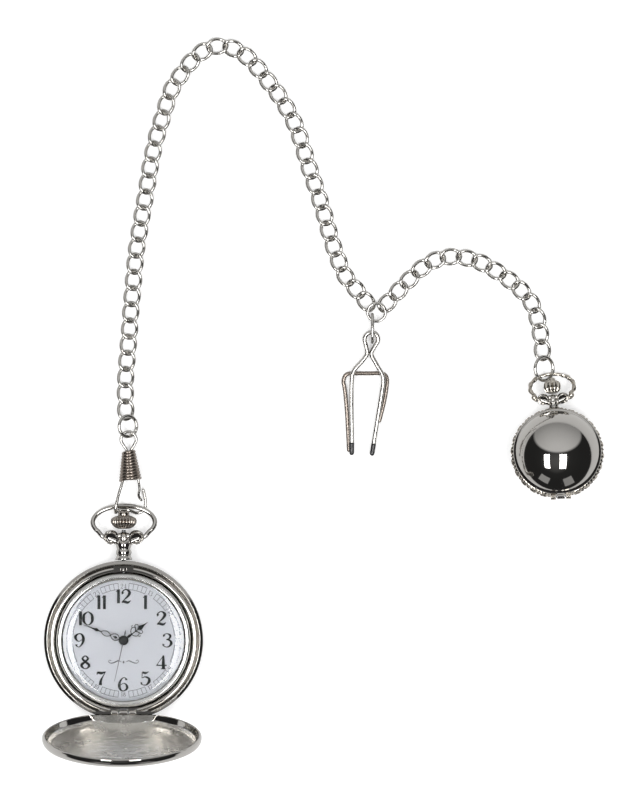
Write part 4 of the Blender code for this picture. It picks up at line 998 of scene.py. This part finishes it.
def fob():
    """Ball watch: relief band, hinge, domed back and cover, neck, fluted crown and rope bow."""
    put("fob_relief_band", [relief_band()], cast_nickel, "fob_case",
        matrix=FOB_PLACE, crease=70)
    knuckles = []
    for side in (-1, 1):
        low, high = sorted((side * 1.5, side * 2.9))
        knuckles += [fob_barrel(low, high), block(low, high, -13.8, -12.2, 0.0, 1.5)]
    put("fob_hinge_knuckles", knuckles, cast_nickel, body="fob",
        matrix=FOB_PLACE, crease=40)
    put("fob_pin", [pin(0.3, 2.8, FOB_HINGE, 24)], bright_steel, "fob_hinge_pin",
        matrix=FOB_PLACE, crease=40)
    inner = dome(11.9, -1.92, 7.0, 40, -1)[::-1]
    outer = dome(12.7, -1.92, 7.78, 60, -1)
    put("fob_domed_back", [turned(np.vstack([inner, outer]), 256)], polished_nickel, "fob_back",
        matrix=FOB_PLACE, crease=50)
    inner = dome(11.7, 1.9, 7.1, 40)[::-1]
    lip = np.array([(11.75, 1.88), (12.5, 1.88), (12.72, 2.05), (12.72, 2.3), (12.5, 2.5)])
    outer = dome(12.4, 1.9, 7.8, 72)
    outer = outer[outer[:, 1] > 2.6]
    shell = np.vstack([inner[:-1], lip, outer])
    put("fob_domed_cover", [turned(shell, 320)], polished_nickel, "fob_cover",
        matrix=FOB_PLACE, crease=50)
    tab = block(-1.05, 1.05, -13.2, -12.1, 2.05, 2.5)
    put("fob_cover_knuckle", [fob_barrel(-1.1, 1.1), tab], polished_nickel, body="fob_cover",
        matrix=FOB_PLACE, crease=40)
    fob_dial()
    stem = rounded([(0.5, 13.35), (1.6, 13.35), (1.35, 13.9), (1.15, 14.4), (1.5, 14.8),
                    (1.2, 15.3), (1.0, 15.8), (0.5, 15.8)], 0.2, closed=True)
    points, along = turned(stem, 64, closed=True)
    head = pendant_head(0.78, Matrix.Translation((0, FOB_BOW_Y, 0)), tip=0.62)
    put("fob_pendant_head", [(about_y(points, 0.0), along)] + head, polished_nickel, "fob_neck",
        matrix=FOB_PLACE, crease=50)
    curve = [(0, 22.38), (0.7, 22.35), (1.05, 22.1), (1.0, 21.6), (1.9, 21.35), (2.45, 20.7),
             (2.55, 19.9), (2.4, 19.0), (1.9, 18.3), (1.5, 17.95), (0, 17.92)]
    zone = lambda h: np.clip((21.5 - h) / 0.3, 0, 1) * np.clip((h - 18.0) / 0.3, 0, 1)
    points, along = turned(rounded(curve, 0.25, steps=5), 336, ribs=-0.16, rib_count=14, rib_zone=zone)
    put("fob_fluted_crown", [(about_y(points, 0.0), along)], cast_nickel, "fob_crown",
        matrix=FOB_PLACE, crease=60)
    line = bow_line(7.9, 6.4, 3.4, 14.0, 26) + np.array((0, FOB_BOW_Y, 0))
    spread_out = np.linspace(-1, 1, len(line))
    rope = 0.47 + 0.17 * np.abs(np.sin(spread_out * 22)) * (np.abs(spread_out) > 0.22)
    ends = [sphere(line[k], 0.85) for k in (14, -15)]
    put("fob_rope_bow", [tube(line, rope, sides=24, twist=0.9, lobes=3, lobe=0.12)] + ends,
        cast_nickel, "fob_bow", matrix=FOB_PLACE)


def fob_dial():
    """Inside of the ball watch: lacquered dial with figures, two plain hands and a flat glass."""
    plate = rounded([(0.6, 0.5), (0.6, 0.8), (11.18, 0.8), (11.18, 0.5)], 0.05, closed=True)
    put("fob_dial_plate", [turned(plate, 160, closed=True)], dial_white, "fob_dial",
        matrix=FOB_PLACE, crease=40)
    marks = []
    for hour in range(1, 13):
        marks += numeral(str(hour), clock(8.3, 30 * hour), 2.3, 0.803, 0.815)
    marks += [tick(10.1, 10.7, 6 * minute, 0.14, 0.803, 0.815) for minute in range(60)]
    put("fob_dial_figures", marks, black_ink, body="fob", matrix=FOB_PLACE)
    hour = [stroke([(0, 0, .5), (0, 2.2, .45), (0, 3.8, .85), (0, 5.4, .1)], 1.05, 1.18),
            disc(0.9, 1.05, 1.18)]
    put("fob_hour_blade", turned_hand(hour, 305), hand_black, "fob_hour_hand",
        matrix=FOB_PLACE, crease=40)
    minute = [stroke([(0, 0, .4), (0, 3.5, .35), (0, 5.8, .65), (0, 8.4, .08)], 1.5, 1.63),
              disc(0.8, 1.5, 1.63)]
    put("fob_minute_blade", turned_hand(minute, 60), hand_black, "fob_minute_hand",
        matrix=FOB_PLACE, crease=40)
    crystal = rounded([(0, 2.7), (6.0, 2.64), (11.08, 2.5), (11.08, 2.12), (0, 2.12)], 0.15)
    put("fob_flat_glass", [turned(crystal, 160)], glass, "fob_glass",
        matrix=FOB_PLACE, crease=50)


# ---------------------------------------------------------------- movement

def movement():
    """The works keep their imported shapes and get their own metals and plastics."""
    finishes = {
        stamped_brass: ["mainplate", "train_bridge", "center_wheel", "hour_wheel", "third_wheel",
                        "minute_wheel"],
        bright_steel: ["bridge_screw_1", "bridge_screw_2", "battery", "battery_clamp", "quartz_can",
                       "stator", "rotor", "intermediate_wheel", "second_wheel", "winding_stem",
                       "sliding_pinion", "setting_lever", "lid_spring"],
        holder_plastic: ["movement_holder", "fob_movement"],
        board_mask: ["circuit_board"],
        wound_copper: ["coil"],
    }
    for mat, names in finishes.items():
        for name in names:
            node = frame["nodes"][name]
            for slot in node.material_slots:
                slot.material = mat


camera()
parts = chain()
clip = belt_clip()
studio()
floor()
case()
neck_and_collar()
crown()
bow()
lid()
dial()
hands()
fob()
movement()
